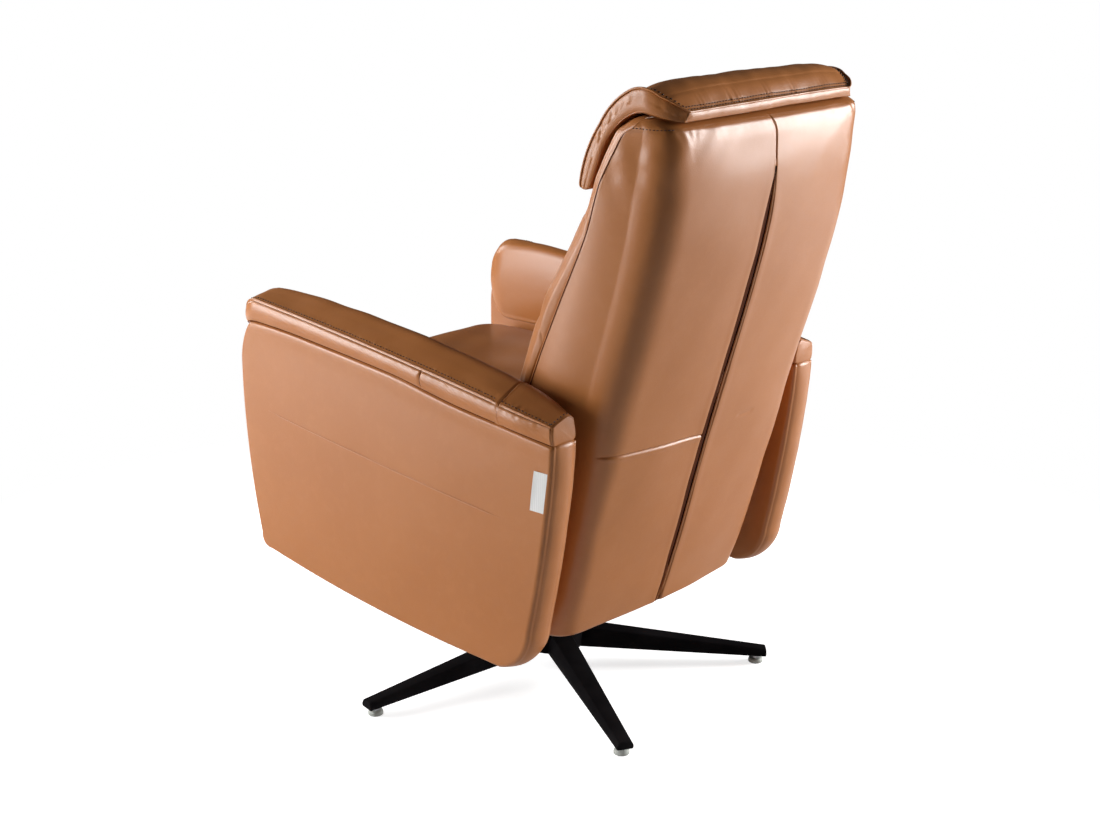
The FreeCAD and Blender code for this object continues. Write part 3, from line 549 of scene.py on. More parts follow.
def puckers(along: Array, seed: int, length: float = 12) -> Array:
    """Uneven short waves along a seam, about -1 to 1.

    Args:
        along: distances along the seam.
        seed: fixes the pattern.
        length: typical wave length in millimetres.

    Returns:
        One height for each distance.
    """
    pick = np.random.default_rng(seed)
    total = np.zeros_like(np.asarray(along, float))
    for _ in range(5):
        wave = length * pick.uniform(0.6, 1.9)
        total += np.sin(along * 2 * math.pi / wave + pick.uniform(0, 6.3)) * pick.uniform(0.5, 1)
    swell = 0.55 + 0.45 * np.sin(along * 2 * math.pi / (length * 7.3) + seed)
    return total * swell / 2.4


def grid_faces(rows: int, columns: int, first: int = 0, ring: bool = True, wrap: bool = False) -> list[tuple]:
    """Four-sided faces between the rows of a grid of points.

    Args:
        rows: how many rows there are.
        columns: how many points each row has.
        first: number of the first point.
        ring: whether each row closes on itself.
        wrap: whether the last row joins the first.

    Returns:
        The faces.
    """
    faces = []
    for r in range(rows if wrap else rows - 1):
        here, there = first + r * columns, first + (r + 1) % rows * columns
        for c in range(columns if ring else columns - 1):
            d = (c + 1) % columns
            faces.append((here + c, here + d, there + d, there + c))
    return faces


def end_faces(rows: int, columns: int, first: int = 0) -> list[tuple]:
    """The two faces that close the first and the last row of a grid."""
    return [tuple(first + r * columns + c for c in range(columns)) for r in (0, rows - 1)]


def mesh_object(name: str, points: Array, faces: Sequence[Sequence[int]],
                material: Material) -> Object:
    """Make a smooth object from points in millimetres and their faces.

    Args:
        name: name of the piece.
        points: its points, the last axis x, y, z.
        faces: numbers of the points of each face.
        material: its finish.

    Returns:
        The new object.
    """
    mesh = bpy.data.meshes.new(name)
    mesh.from_pydata((points.reshape(-1, 3) * MM).tolist(), [], faces)
    made = bmesh.new()
    made.from_mesh(mesh)
    bmesh.ops.recalc_face_normals(made, faces=made.faces)
    made.to_mesh(mesh)
    made.free()
    mesh.polygons.foreach_set("use_smooth", [True] * len(mesh.polygons))
    mesh.materials.append(material)
    piece = bpy.data.objects.new(name, mesh)
    bpy.context.scene.collection.objects.link(piece)
    return piece


class Skin:
    """A closed surface of equal loops of points, in millimetres."""

    def __init__(self, loops: Array) -> None:
        """Keep the loops, as an array of rows, columns and x, y, z."""
        self.loops = np.array(loops, float)

    def normals(self) -> Array:
        """Unit normals that point out of the form.

        Returns:
            One normal for each point.
        """
        around = np.roll(self.loops, -1, 1) - np.roll(self.loops, 1, 1)
        along = np.gradient(self.loops, axis=0)
        normal = np.cross(around, along)
        normal /= np.maximum(np.linalg.norm(normal, axis=2, keepdims=True), 1e-9)
        outward = self.loops - self.loops.mean(axis=1, keepdims=True)
        return -normal if np.sum(normal * outward) < 0 else normal

    def axes(self) -> tuple[Array, Array, Array]:
        """The x, the y and the z of every point."""
        return self.loops[..., 0], self.loops[..., 1], self.loops[..., 2]

    def push(self, height: Array) -> "Skin":
        """Move each point along its normal."""
        self.loops = self.loops + self.normals() * height[..., None]
        return self

    def trail(self, rows: Array, columns: Array, lift: float = 0) -> tuple[Array, Array]:
        """Points and normals along a path over the skin.

        Args:
            rows: places along the rows, which may lie between two of them.
            columns: places along the columns, one for each row place.
            lift: how far the points are lifted off the skin.

        Returns:
            The points and their normals.
        """
        rows, columns = np.broadcast_arrays(np.asarray(rows, float), np.asarray(columns, float))
        count = self.loops.shape[1]
        r = np.clip(np.floor(rows).astype(int), 0, len(self.loops) - 2)
        c = np.floor(columns).astype(int)
        u, v = (rows - r)[:, None], (columns - c)[:, None]
        both = np.concatenate([self.loops, self.normals()], 2)
        mixed = ((both[r, c % count] * (1 - v) + both[r, (c + 1) % count] * v) * (1 - u)
                 + (both[r + 1, c % count] * (1 - v) + both[r + 1, (c + 1) % count] * v) * u)
        normal = mixed[:, 3:] / np.linalg.norm(mixed[:, 3:], axis=1, keepdims=True)
        return mixed[:, :3] + normal * lift, normal

    def build(self, name: str, material: Material, folded: bool = False) -> Object:
        """Make the object.

        Args:
            name: name of the piece.
            material: its finish.
            folded: close the ends by joining opposite columns, and not with one face.

        Returns:
            The new object.
        """
        rows, columns, _ = self.loops.shape
        faces = grid_faces(rows, columns)
        if folded:
            for start in (0, (rows - 1) * columns):
                end = start + columns - 1
                faces += [(start + c, start + c + 1, end - 1 - c, end - c) for c in range(columns // 2 - 1)]
        else:
            faces += end_faces(rows, columns)
        return mesh_object(name, self.loops, faces, material)


def tube(name: str, points: Array, radius: float, material: Material, sides: int = 8,
         taper: float = 0) -> Object:
    """A round cord along points in millimetres.

    Args:
        name: name of the piece.
        points: its centre line.
        radius: its radius in millimetres.
        material: its finish.
        sides: points round it.
        taper: length over which its ends thin out.

    Returns:
        The new object.
    """
    ahead = np.gradient(points, axis=0)
    ahead /= np.linalg.norm(ahead, axis=1, keepdims=True)
    first = np.cross(ahead, CORD_HINT)
    first /= np.linalg.norm(first, axis=1, keepdims=True)
    second = np.cross(ahead, first)
    along = np.concatenate([[0], np.cumsum(np.linalg.norm(np.diff(points, axis=0), axis=1))])
    thin = np.ones(len(points))
    if taper > 0:
        thin = np.clip(np.minimum(along, along[-1] - along) / taper, 0.15, 1)
    turns = np.linspace(0, 2 * math.pi, sides, endpoint=False)
    ring = (np.cos(turns)[None, :, None] * first[:, None] + np.sin(turns)[None, :, None] * second[:, None])
    loops = points[:, None] + ring * (radius * thin)[:, None, None]
    faces = grid_faces(len(points), sides) + end_faces(len(points), sides)
    return mesh_object(name, loops, faces, material)


def stitches(name: str, paths: Sequence[tuple[Array, Array]], material: Material,
             pitch: float = 5.4, length: float = 3.5, radius: float = 0.66) -> Object:
    """Rows of short stitches that lie half sunk in the leather.

    Args:
        name: name of the piece.
        paths: for each row its points and normals, in millimetres.
        material: the thread.
        pitch: distance from stitch to stitch.
        length: length of a stitch.
        radius: radius of the thread.

    Returns:
        One object with all the stitches.
    """
    points, faces = [], []
    sides = 6
    turns = np.linspace(0, 2 * math.pi, sides, endpoint=False)
    profile = ((-0.5, 0.35, -0.5), (-0.34, 0.9, 0.1), (0, 1.05, 0.35), (0.34, 0.9, 0.1), (0.5, 0.35, -0.5))
    for path, normals in paths:
        both = sweep_curve(np.concatenate([path, normals], 1), pitch)
        for spot, after in zip(both[:-1], both[1:]):
            ahead = after[:3] - spot[:3]
            reach = np.linalg.norm(ahead)
            if reach < pitch * 0.5:
                continue
            ahead = ahead / reach
            up = spot[3:] / max(np.linalg.norm(spot[3:]), 1e-9)
            across = np.cross(ahead, up)
            first = len(points)
            for place, wide, lift in profile:
                centre = spot[:3] + ahead * (place * length) + up * (lift * radius)
                points += [centre + (across * math.cos(turn) + up * math.sin(turn)) * radius * wide
                           for turn in turns]
            faces += grid_faces(len(profile), sides, first) + end_faces(len(profile), sides, first)
    return mesh_object(name, np.array(points), faces, material)


def lathe(name: str, profile: Sequence[tuple[float, float]], centre: Sequence[float],
          material: Material, sides: int = 64) -> Object:
    """A turned body from (radius, height) points, closed on itself, in millimetres.

    Args:
        name: name of the piece.
        profile: its section, in order.
        centre: X and Y of its axis.
        material: its finish.
        sides: points round the axis.

    Returns:
        The new object.
    """
    turns = np.linspace(0, 2 * math.pi, sides, endpoint=False)
    loops = np.array([[(centre[0] + r * math.cos(t), centre[1] + r * math.sin(t), z) for r, z in profile]
                      for t in turns])
    return mesh_object(name, loops, grid_faces(sides, len(profile), wrap=True), material)


def round_over(piece: Object, width: float) -> None:
    """Round the sharp edges of an object by width millimetres, and apply it.

    Args:
        piece: the object.
        width: how wide the rounding is.
    """
    bevel = piece.modifiers.new("round", "BEVEL")
    bevel.width = width * MM
    bevel.segments = 3
    bevel.limit_method = "ANGLE"
    bevel.angle_limit = math.radians(25)
    bevel.harden_normals = False
    bpy.context.view_layer.update()
    made = bpy.data.meshes.new_from_object(piece.evaluated_get(bpy.context.evaluated_depsgraph_get()))
    piece.modifiers.clear()
    piece.data = made


def settle(piece: Object, body: str, slot: str, *nodes: str, fill: float = 0) -> None:
    """Put a finished piece in its place in the frame, and log it.

    Args:
        piece: the piece.
        body: the body it rides.
        slot: its material slot; not used.
        nodes: the solids it stands for.
        fill: how full a cushion is, or 0 for a piece that isn't one; not used.
    """
    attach(piece, body)
    if nodes:
        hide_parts(*nodes)
    log.info("%s: %d points", piece.name, len(piece.data.vertices))


# Sub-assemblies

def painted(finish: Union[Leather, Coat, Steel, Moulding, Plywood, Webbing, Thread]) -> Material:
    """A dataclass field that holds the painted material of a finish."""
    return field(default_factory=finish.paint)


@dataclass
class Finishes:
    """Every material of the chair, painted once."""

    hide: Material = painted(Leather("tan_hide"))
    # Tan leather dimmed to a dark brown: painted shade for the seam grooves and the zip channel's wall, not a
    # darker leather.
    painted_shade_hide: Material = painted(Leather(
        "tan_painted_fold_shade", mid=(0.105, 0.030, 0.011), deep=(0.080, 0.022, 0.008), pale=(0.130, 0.038, 0.015),
        roughness=0.75, index=1.2))
    shade: Material = painted(Leather(
        "zip_shade", mid=(0.0040, 0.0015, 0.0008), deep=(0.009, 0.0035, 0.0015), pale=(0.015, 0.006, 0.003),
        roughness=0.85, index=1.1))
    thread: Material = painted(Thread("sewing_thread_painted_hole_shade"))
    coat: Material = painted(Coat("black_powder_coat"))
    frame_steel: Material = painted(Coat("dark_painted_steel", (0.035, 0.035, 0.038), 0.45))
    bright: Material = painted(Steel("bright_steel"))
    glide: Material = painted(Moulding("glide_plastic"))
    bearing: Material = painted(Moulding("bearing_plastic", (0.74, 0.74, 0.71)))
    plywood: Material = painted(Plywood("bare_plywood"))
    webbing: Material = painted(Webbing("elastic_webbing"))
    tag: Material = painted(Webbing("blank_woven_tag", (0.70, 0.70, 0.69), (0.86, 0.86, 0.85)))

    def by_slot(self) -> dict[str, Material]:
        """The finish of each material slot of the record.

        Returns:
            The materials by the names of their slots.
        """
        return {"black_coat": self.coat, "dark_steel": self.frame_steel, "bright_steel": self.bright,
                "glide_plastic": self.glide, "bearing_plastic": self.bearing, "plywood": self.plywood,
                "webbing": self.webbing, "zip_tape": self.painted_shade_hide, "tan_leather": self.hide}


@dataclass
class StarBase:
    """Five tapered legs on a turned hub, on round glides."""

    finishes: Finishes
    first_angle: float = -12.1
    reach: float = 384
    root: float = 44
    tip_half: float = 15
    root_half: float = 26
    tip_heights: tuple[float, float] = (14, 28)
    root_heights: tuple[float, float] = (38, 74)
    glide_at: float = 366

    def leg(self, index: int) -> Object:
        """One leg: flat top, leaning sides with a low ridge, square end.

        Args:
            index: number of the leg, from 0.

        Returns:
            The leg.
        """
        turn = math.radians(self.first_angle + 72 * index)
        ahead = np.array([math.cos(turn), math.sin(turn), 0])
        across = np.array([-math.sin(turn), math.cos(turn), 0])
        loops = []
        for share in np.linspace(0, 1, 12):
            out = self.root + (self.reach - self.root) * share
            half = self.root_half + (self.tip_half - self.root_half) * share
            low = self.root_heights[0] + (self.tip_heights[0] - self.root_heights[0]) * share
            high = self.root_heights[1] + (self.tip_heights[1] - self.root_heights[1]) * share
            ridge = low + (high - low) * 0.42
            ring = [(-half * 0.94, low), (half * 0.94, low), (half, ridge), (half * 0.70, high),
                    (-half * 0.70, high), (-half, ridge)]
            loops.append([ahead * out + across * side + np.array([0, 0, up]) for side, up in ring])
        piece = Skin(np.array(loops)).build(f"leg_{index + 1}", self.finishes.coat)
        round_over(piece, 2.4)
        return piece

    def glides(self) -> list[Object]:
        """The round glides, each a turned foot.

        Returns:
            The five glides.
        """
        made = []
        for index in range(5):
            turn = math.radians(self.first_angle + 72 * index)
            centre = (self.glide_at * math.cos(turn), self.glide_at * math.sin(turn))
            profile = [(0.01, 0), (11.6, 0), (12.7, 0.6), (13, 1.8), (13, 5.4), (12.4, 6.8), (10.6, 8.2),
                       (8, 9), (0.01, 9)]
            made.append(lathe(f"glide_{index + 1}", profile, centre, self.finishes.glide, 40))
        return made

    def hub(self) -> Object:
        """The turned hub with rounded shoulders.

        Returns:
            The hub.
        """
        profile = [(20.2, 34), (45, 34), (54, 36.6), (57.4, 40), (58, 44), (58, 74),
                   (57.2, 77.6), (54, 80.6), (48, 83.6), (43.6, 86.6), (41, 88), (20.2, 88)]
        return lathe("base_hub_turned", profile, (0, 0), self.finishes.coat, 96)

    def build(self) -> None:
        """Build the base and put it on its body."""
        for index in range(5):
            settle(self.leg(index), "base", "black_coat", f"base_leg_{index + 1}")
        for index, glide in enumerate(self.glides()):
            settle(glide, "base", "glide_plastic", *(["glide_pads"] if index == 0 else []))
        settle(self.hub(), "base", "black_coat", "base_hub")


@dataclass
class Mechanism:
    """The parts of the frame whose solids stay as they are and only get their finish."""

    finishes: Finishes

    def build(self) -> None:
        """Give every solid of the frame its finish."""
        by_slot = self.finishes.by_slot()
        slots = {row["node"]: row["material_slot"] for row in frame["record"]["subparts"]}
        for name, solid in frame["nodes"].items():
            solid.data.materials.clear()
            solid.data.materials.append(by_slot[slots[name]])
        log.info("mechanism: %d solids dressed", len(frame["nodes"]))


def rounded_loop(half: float, front: float, rear: float, corner: float, level: float,
                 counts: tuple[int, int, int], bow: float = 0) -> Array:
    """A flat rounded rectangle at height level, from the middle of its front round to the left.

    Args:
        half: half of its width along X.
        front: Y of its front.
        rear: Y of its rear.
        corner: radius of its corners.
        level: its Z.
        counts: points on half a front, on a corner and on a side.
        bow: how far its sides stand out in their middle.

    Returns:
        The loop of points.
    """
    ends, corners, sides = counts
    c = min(corner, half * 0.98, (rear - front) * 0.49)
    turn = np.linspace(0, math.pi / 2, corners, endpoint=False)
    parts = [line_points((0, front), (half - c, front), ends),
             np.stack([half - c + c * np.sin(turn), front + c - c * np.cos(turn)], 1),
             line_points((half, front + c), (half, rear - c), sides),
             np.stack([half - c + c * np.cos(turn), rear - c + c * np.sin(turn)], 1),
             line_points((half - c, rear), (0, rear), ends)]
    right = np.concatenate(parts)
    left = (right * (-1, 1))[1:][::-1]
    flat = np.concatenate([right, np.array([[0, rear]]), left])
    middle = (front + rear) / 2
    flat[:, 0] += np.sign(flat[:, 0]) * bow * np.clip(
        1 - ((flat[:, 1] - middle) / (rear - front) * 2) ** 2, 0, 1)
    return np.column_stack([flat, np.full(len(flat), level)])


@dataclass
class SeatCushion:
    """The crowned seat cushion with a boxed edge."""

    finishes: Finishes
    half: float = 262
    front: float = -408
    rear: float = 74
    base: float = 395
    top: float = 521
    counts: tuple[int, int, int] = (44, 12, 84)

    def skin(self) -> Skin:
        """The cushion, drawn in at its lower and upper edges.

        Returns:
            The cushion's surface.
        """
        height = self.top - self.base
        rise = [(34, 0), (18, 0), (11, 0.012), (7, 0.035)]
        rise += [(4.5 - 3.5 * t, 0.06 + 0.32 * t) for t in np.linspace(0, 1, 9)]
        rise += [(0.6 + 2.6 * t * t, 0.40 + 0.40 * t) for t in np.linspace(0.05, 1, 12)]
        rise += [(4.2 + 12 * t ** 1.6, 0.82 + 0.135 * math.sin(t * math.pi / 2))
                 for t in np.linspace(0.06, 1, 9)]
        rise += [(16.5 + inset, 0.955 + 0.085 * (1 - math.exp(-inset / 60)))
                 for inset in np.arange(5, 220, 5)]
        loops = [rounded_loop(self.half - inset, self.front + inset, self.rear - inset * 0.9,
                              max(14, 46 - inset * 0.18), self.base + share * height, self.counts, 1)
                 for inset, share in rise]
        skin = Skin(np.array(loops))
        x, y, z = skin.axes()
        upper = step(z, self.top - 14, self.top + 1)
        seam = groove(z - (self.base + 0.83 * height), 2) * (1 - upper)
        sag = step(np.hypot(x / 190, (y + 150) / 190), 1, 0) * 3
        skin.push(-1.6 * seam + ripple(skin.loops, 120, 5) * (0.5 + 0.9 * upper) - sag * upper)
        return skin

    def build(self) -> None:
        """Build the cushion."""
        settle(self.skin().build("seat_pad", self.finishes.hide), "seat", LEATHER, "seat_cushion", fill=0.85)


@dataclass
class FootrestPad:
    """The stowed footrest pad under the front of the seat."""

    finishes: Finishes
    half: float = 262
    low: float = 222
    high: float = 389
    back: float = -364
    face: float = -402
    counts: tuple[int, int, int] = (44, 9, 30)

    def skin(self) -> Skin:
        """The pad, crowned towards the front.

        Returns:
            The pad's surface.
        """
        depth = self.back - self.face
        rise = [(26, 0), (9, 0), (4, 0.02), (2, 0.08)]
        rise += [(1 - t, 0.14 + 0.3 * t) for t in np.linspace(0, 1, 6)]
        rise += [(12 * t ** 2, 0.48 + 0.40 * math.sin(t * math.pi / 2)) for t in np.linspace(0.1, 1, 8)]
        rise += [(12 + inset, 0.88 + 0.12 * (1 - math.exp(-inset / 22))) for inset in np.arange(4, 66, 4)]
        loops = []
        for inset, share in rise:
            flat = rounded_loop(self.half - inset, self.low + inset, self.high - inset,
                                max(8, 20 - inset * 0.1), 0, self.counts, 0.6)
            level = np.full(len(flat), self.back - depth * share)
            loops.append(np.stack([flat[:, 0], level, flat[:, 1]], 1))
        skin = Skin(np.array(loops))
        x, y, z = skin.axes()
        front = step(y, self.back - 8, self.face)
        skin.push(-2.2 * groove(z - 306, 2.4) * front - 1.2 * groove(z - 306, 9) * front
                  + ripple(skin.loops, 90, 8) * 0.8 * front)
        return skin

    def build(self) -> None:
        """Build the pad."""
        pad = self.skin().build("footrest_pad", self.finishes.hide)
        settle(pad, "footrest", LEATHER, "footrest_cushion", fill=0.8)


@dataclass
class Arm:
    """One arm: a boxed body in leather under a long stitched pad and a short rear pad."""

    finishes: Finishes
    side: Side
    inner: float = 281
    outer: float = 337
    nose_y: float = -419
    nose_z: float = 606
    nose_depth: float = 46
    joint_y: float = 196
    rear_y: float = 302
    roll: float = 520
    centre: tuple[float, float] = (-60, 395)
    cross_seam_y: float = 32
    overhang: float = 13
    low_seam: tuple[float, float, float] = (620, 71, 14)
    high_seam: tuple[float, float, float] = (666, 86, 22)
    seam_lift: float = 8.5
    tag_top: float = 507
    tag_length: float = 64
    tag_width: float = 25
    line_column: float = 20.2
    cord_column: float = 22.4
    stitch_column: float = 26
    crowns: Curve = Curve(((-375, 19), (-330, 23), (-260, 27), (-180, 31), (-60, 34),
                           (60, 34), (196, 28), (250, 22), (302, 14)))

    def sign(self) -> float:
        """1 on the left, -1 on the right."""
        return float(self.side.value)

    def name(self, part: str) -> str:
        """The name of one piece of this arm."""
        return f"{part}_{self.side.name.lower()}"

    def seam(self, y: Array) -> tuple[Array, Array]:
        """Heights of the lower and upper seams of the pad's boxing at y.

        Args:
            y: places along the arm.

        Returns:
            The heights of the lower seam and of the upper one.
        """
        place = np.asarray(y, float)
        share = (place + 390) / 692
        low, high = (start - fall * share + sag * share * (1 - share)
                     for start, fall, sag in (self.low_seam, self.high_seam))
        return low + self.seam_lift * step(place, 120, -60) * step(place, -520, -260), high

    def full(self, y: Array) -> Array:
        """How full the nose of the pad is at y."""
        share = np.clip((np.asarray(y, float) - self.nose_y) / self.nose_depth, 0, 1)
        return np.sqrt(1 - (1 - share) ** 2)

    def low(self, y: Array) -> Array:
        """The top edge of the arm's body, where the pad lies on it."""
        base = self.seam(np.maximum(y, self.nose_y + self.nose_depth))[0]
        return self.nose_z + (base - self.nose_z) * self.full(y)

    def outline(self) -> Array:
        """The side outline of the body as (y, z) points.

        Returns:
            The closed outline.
        """
        tops = np.linspace(-398, self.rear_y, 170, endpoint=False)
        rear_top = float(self.low(self.rear_y))
        return np.concatenate([
            arc_points((-390.2, 240), (-420, 425), (-424, 545), 50),
            arc_points((-424, 545), (-417, 588), (-398, float(self.low(-398))), 14),
            np.stack([tops, self.low(tops)], 1),
            arc_points((self.rear_y, rear_top), (277, 360), (252, 238), 84),
            arc_points((252, 238), (232, 190), (190, 164), 26),
            arc_points((190, 164), (-98, 178), (-366, 214.5), 150),
            arc_points((-366, 214.5), (-384.5, 220.5), (-390.2, 240), 9)])

    def body_skin(self) -> Skin:
        """The boxed body, from its outer face over the band to its inner face.

        Returns:
            The body's surface.
        """
        edge = self.outline()
        centre = np.array(self.centre)
        ray = edge - centre
        reach = np.linalg.norm(ray, axis=1)
        faces = np.linspace(0, 1, 30)
        turns = np.linspace(0.12, 1, 7) * math.pi / 2
        cuts = [(share, 7, self.outer) for share in faces]
        cuts += [(1, 7 * (1 - math.sin(t)), self.outer - 7 * (1 - math.cos(t))) for t in turns]
        cuts += [(1, 0, x) for x in np.linspace(self.outer - 8.5, self.inner + 8.5, 12)]
        cuts += [(1, 7 * (1 - math.sin(t)), self.inner + 7 * (1 - math.cos(t))) for t in turns[::-1]]
        cuts += [(share, 7, self.inner) for share in faces[::-2]]
        loops = []
        for share, inset, x in cuts:
            keep = 0.03 + share * (1 - inset / reach - 0.03)
            spot = centre + ray * keep[:, None]
            loops.append(np.column_stack([np.full(len(spot), x * self.sign()), spot]))
        skin = Skin(np.array(loops))
        x, y, z = skin.axes()
        aside = np.abs(x)
        band = step(aside, self.outer - 1.5, self.outer - 5.5) * step(aside, self.inner + 1, self.inner + 5)
        rear = step(y, 190, 260) * step(z, 585, 560)
        seam = groove(aside - (self.outer - 7.5), 1.3) + groove(aside - (self.inner + 7.5), 1.3)
        calm = step(aside, self.outer - 3, self.outer - 0.5) + step(aside, self.inner + 3, self.inner + 0.5)
        under = self.low(np.clip(y, -400, 300)) - z
        pillow = 0.8 * groove(under - 12, 10) - 0.9 * groove(under, 2)
        rows = np.arange(len(cuts), dtype=float)[:, None]
        outer_face = step(rows, 36, 29)
        dome = 2.2 * step(rows, 30, 8) * outer_face
        across = np.clip((aside - self.inner) / (self.outer - self.inner), 0, 1)
        bulge = 8 * np.sin(math.pi * across) ** 0.8 * step(y, 150, 235) * step(z, 590, 500)
        skin.push(bulge - 1.3 * seam * rear + (pillow + dome) * outer_face
                  + ripple(skin.loops, 150, 31) * 0.35 * calm + ripple(skin.loops, 60, 32) * 0.35 * band)
        return skin

    def pad_loop(self, y: float, high: float, roll: float, crown: float, narrow: float, drop: float,
                 inner_in: float, full: float = 1) -> Array:
        """One cut of a pad: boxing, crown and the roll down its inner side.

        Args:
            y: where the cut lies.
            high: height of the upper seam.
            roll: height of the lowest point of the roll.
            crown: rise of the top over the seam.
            narrow: how far the outer side stands in.
            drop: how far the inner top edge lies lower.
            inner_in: how far the inner side stands in.
            full: how full the nose is here.

        Returns:
            The loop, from the lower seam up the boxing.
        """
        low = float(self.low(y))
        outer = self.outer + 2 - narrow
        inner = self.inner - self.overhang + 0.3 * narrow + inner_in
        rim = max(self.inner, inner + 10)
        foot = roll + 8 * full
        flat = np.concatenate([
            arc_points((self.outer - narrow, low), (outer + 5 * full, (low + high) / 2), (outer, high), 22),
            self.top_points(outer, inner + 10 - 10 * full, high, crown, drop),
            arc_points((inner + 10 - 10 * full, high - drop),
                       (inner + 8 - 11 * full, (high - drop + foot) / 2),
                       (inner + 6, foot), 26),
            arc_points((inner + 6, foot), (inner + 8 + 0.5 * full, roll + 0.8 * full), (rim, roll), 6),
            line_points((rim, roll), (rim, low), 8),
            line_points((rim, low), (self.outer - narrow, low), 8)])
        return np.column_stack([flat[:, 0] * self.sign(), np.full(len(flat), y), flat[:, 1]])

    def top_points(self, outer: float, edge: float, high: float, crown: float, drop: float) -> Array:
        """The top of one cut: a long slope up from the outer seam, then a roll over the inner edge.

        Args:
            outer: X of the outer seam.
            edge: X of the inner edge.
            high: height of the outer seam.
            crown: rise of the top over the seam.
            drop: how far the inner edge lies lower.

        Returns:
            The points, without the last one.
        """
        wide = outer - edge
        across = Curve(((0, outer), (0.18, outer - 0.17 * wide), (0.42, outer - 0.41 * wide),
                        (0.66, outer - 0.68 * wide), (0.84, outer - 0.88 * wide),
                        (0.93, outer - 0.965 * wide), (1, edge)))
        rise = Curve(((0, high), (0.18, high + 0.24 * crown), (0.42, high + 0.56 * crown - 0.1 * drop),
                      (0.66, high + 0.85 * crown - 0.2 * drop), (0.84, high + 0.76 * crown - 0.5 * drop),
                      (0.93, high + 0.44 * crown - 0.7 * drop), (1, high - drop)))
        share = np.linspace(0, 1, 48, endpoint=False)
        return np.stack([across(share), rise(share)], 1)

    def closed_end(self, loop: Array, outward: float, length: float = 4, rows: int = 5,
                   keep_boxing: bool = False) -> list[Array]:
        """Loops that round one end of a pad over, from its face to its full section.

        Args:
            loop: the full section at the end.
            outward: 1 if the end faces the rear, -1 if it faces the front.
            length: radius of the rounding.
            rows: how many loops to make.
            keep_boxing: whether the boxing runs on unrounded.

        Returns:
            The loops, from the face inwards.
        """
        centre = loop.mean(axis=0)
        span = np.abs(loop - centre).max()
        made = []
        columns = np.arange(len(loop), dtype=float)
        free = (step(columns, 18, 24) * (1 - step(columns, 109, 111)) if keep_boxing
                else np.ones(len(loop)))
        for t in np.linspace(0, 1, rows):
            inset = length * (1 - math.sin(t * math.pi / 2)) * free
            shrunk = centre + (loop - centre) * (1 - inset / span)[:, None]
            shrunk[:, 1] = loop[:, 1] + outward * length * (math.cos(t * math.pi / 2) - 1) * 0.999
            made.append(shrunk)
        return made

    def front_pad_skin(self) -> Skin:
        """The long pad, from its round nose to the joint.

        Returns:
            The plain pad.
        """
        loops = []
        nose = self.nose_y + self.nose_depth * (1 - np.cos(np.linspace(0.06, 0.5 * math.pi, 24)))
        high_end = float(self.seam(self.nose_y + self.nose_depth)[1])
        for y in nose:
            full = float(self.full(y))
            fall = max(0, 1 - (y - self.nose_y) / 150)
            loops.append(self.pad_loop(y, self.nose_z + (high_end - self.nose_z) * full ** 0.82,
                                       self.nose_z - 86 * full - 1 * (1 - full), 1 + 17 * full,
                                       24 * (1 - full), (6 + 34 * fall ** 2) * full, 0, full))
        places = np.sort(np.concatenate([np.linspace(nose[-1] + 3.5, self.joint_y - 2.6, 162),
                                         np.linspace(self.cross_seam_y - 3, self.cross_seam_y + 3, 9)]))
        for y in places:
            fall = max(0, 1 - (y - self.nose_y) / 150)
            loops.append(self.pad_loop(y, float(self.seam(y)[1]), self.roll, float(self.crowns(y)), 0,
                                       6 + 34 * fall ** 2, 0))
        last = self.pad_loop(self.joint_y - 0.1, float(self.seam(self.joint_y)[1]), self.roll,
                             float(self.crowns(self.joint_y)), 0, 6, 0)
        return Skin(np.array(loops + self.closed_end(last, 1, 2.2, 5, True)[::-1]))

    def rear_pad_skin(self) -> Skin:
        """The short pad behind the joint, with a square stitched end.

        Returns:
            The plain pad.
        """
        inner_in = Curve(((197, 0), (230, 1), (265, 3), (302, 9)))
        narrow = Curve(((197, 0), (230, 0), (265, 1), (302, 3)))
        full = Curve(((197, 1), (235, 1), (285, 0.3), (302, 0.2)))
        roll = Curve(((197, 532), (230, 534), (265, float(self.low(265)) + 3),
                      (302, float(self.low(302)) + 3)))

        def loop(y: float) -> Array:
            """One cut of the pad at y."""
            return self.pad_loop(y, float(self.seam(y)[1]), float(roll(y)), float(self.crowns(y)),
                                 float(narrow(y)), 6, float(inner_in(y)), float(full(y)))

        middle = [loop(y) for y in np.linspace(self.joint_y + 3.2, self.rear_y - 4, 46)]
        front = self.closed_end(loop(self.joint_y + 0.4), -1, 2.2, 5, True)
        rear = self.closed_end(loop(self.rear_y), 1)[::-1]
        return Skin(np.array(front + middle + rear))

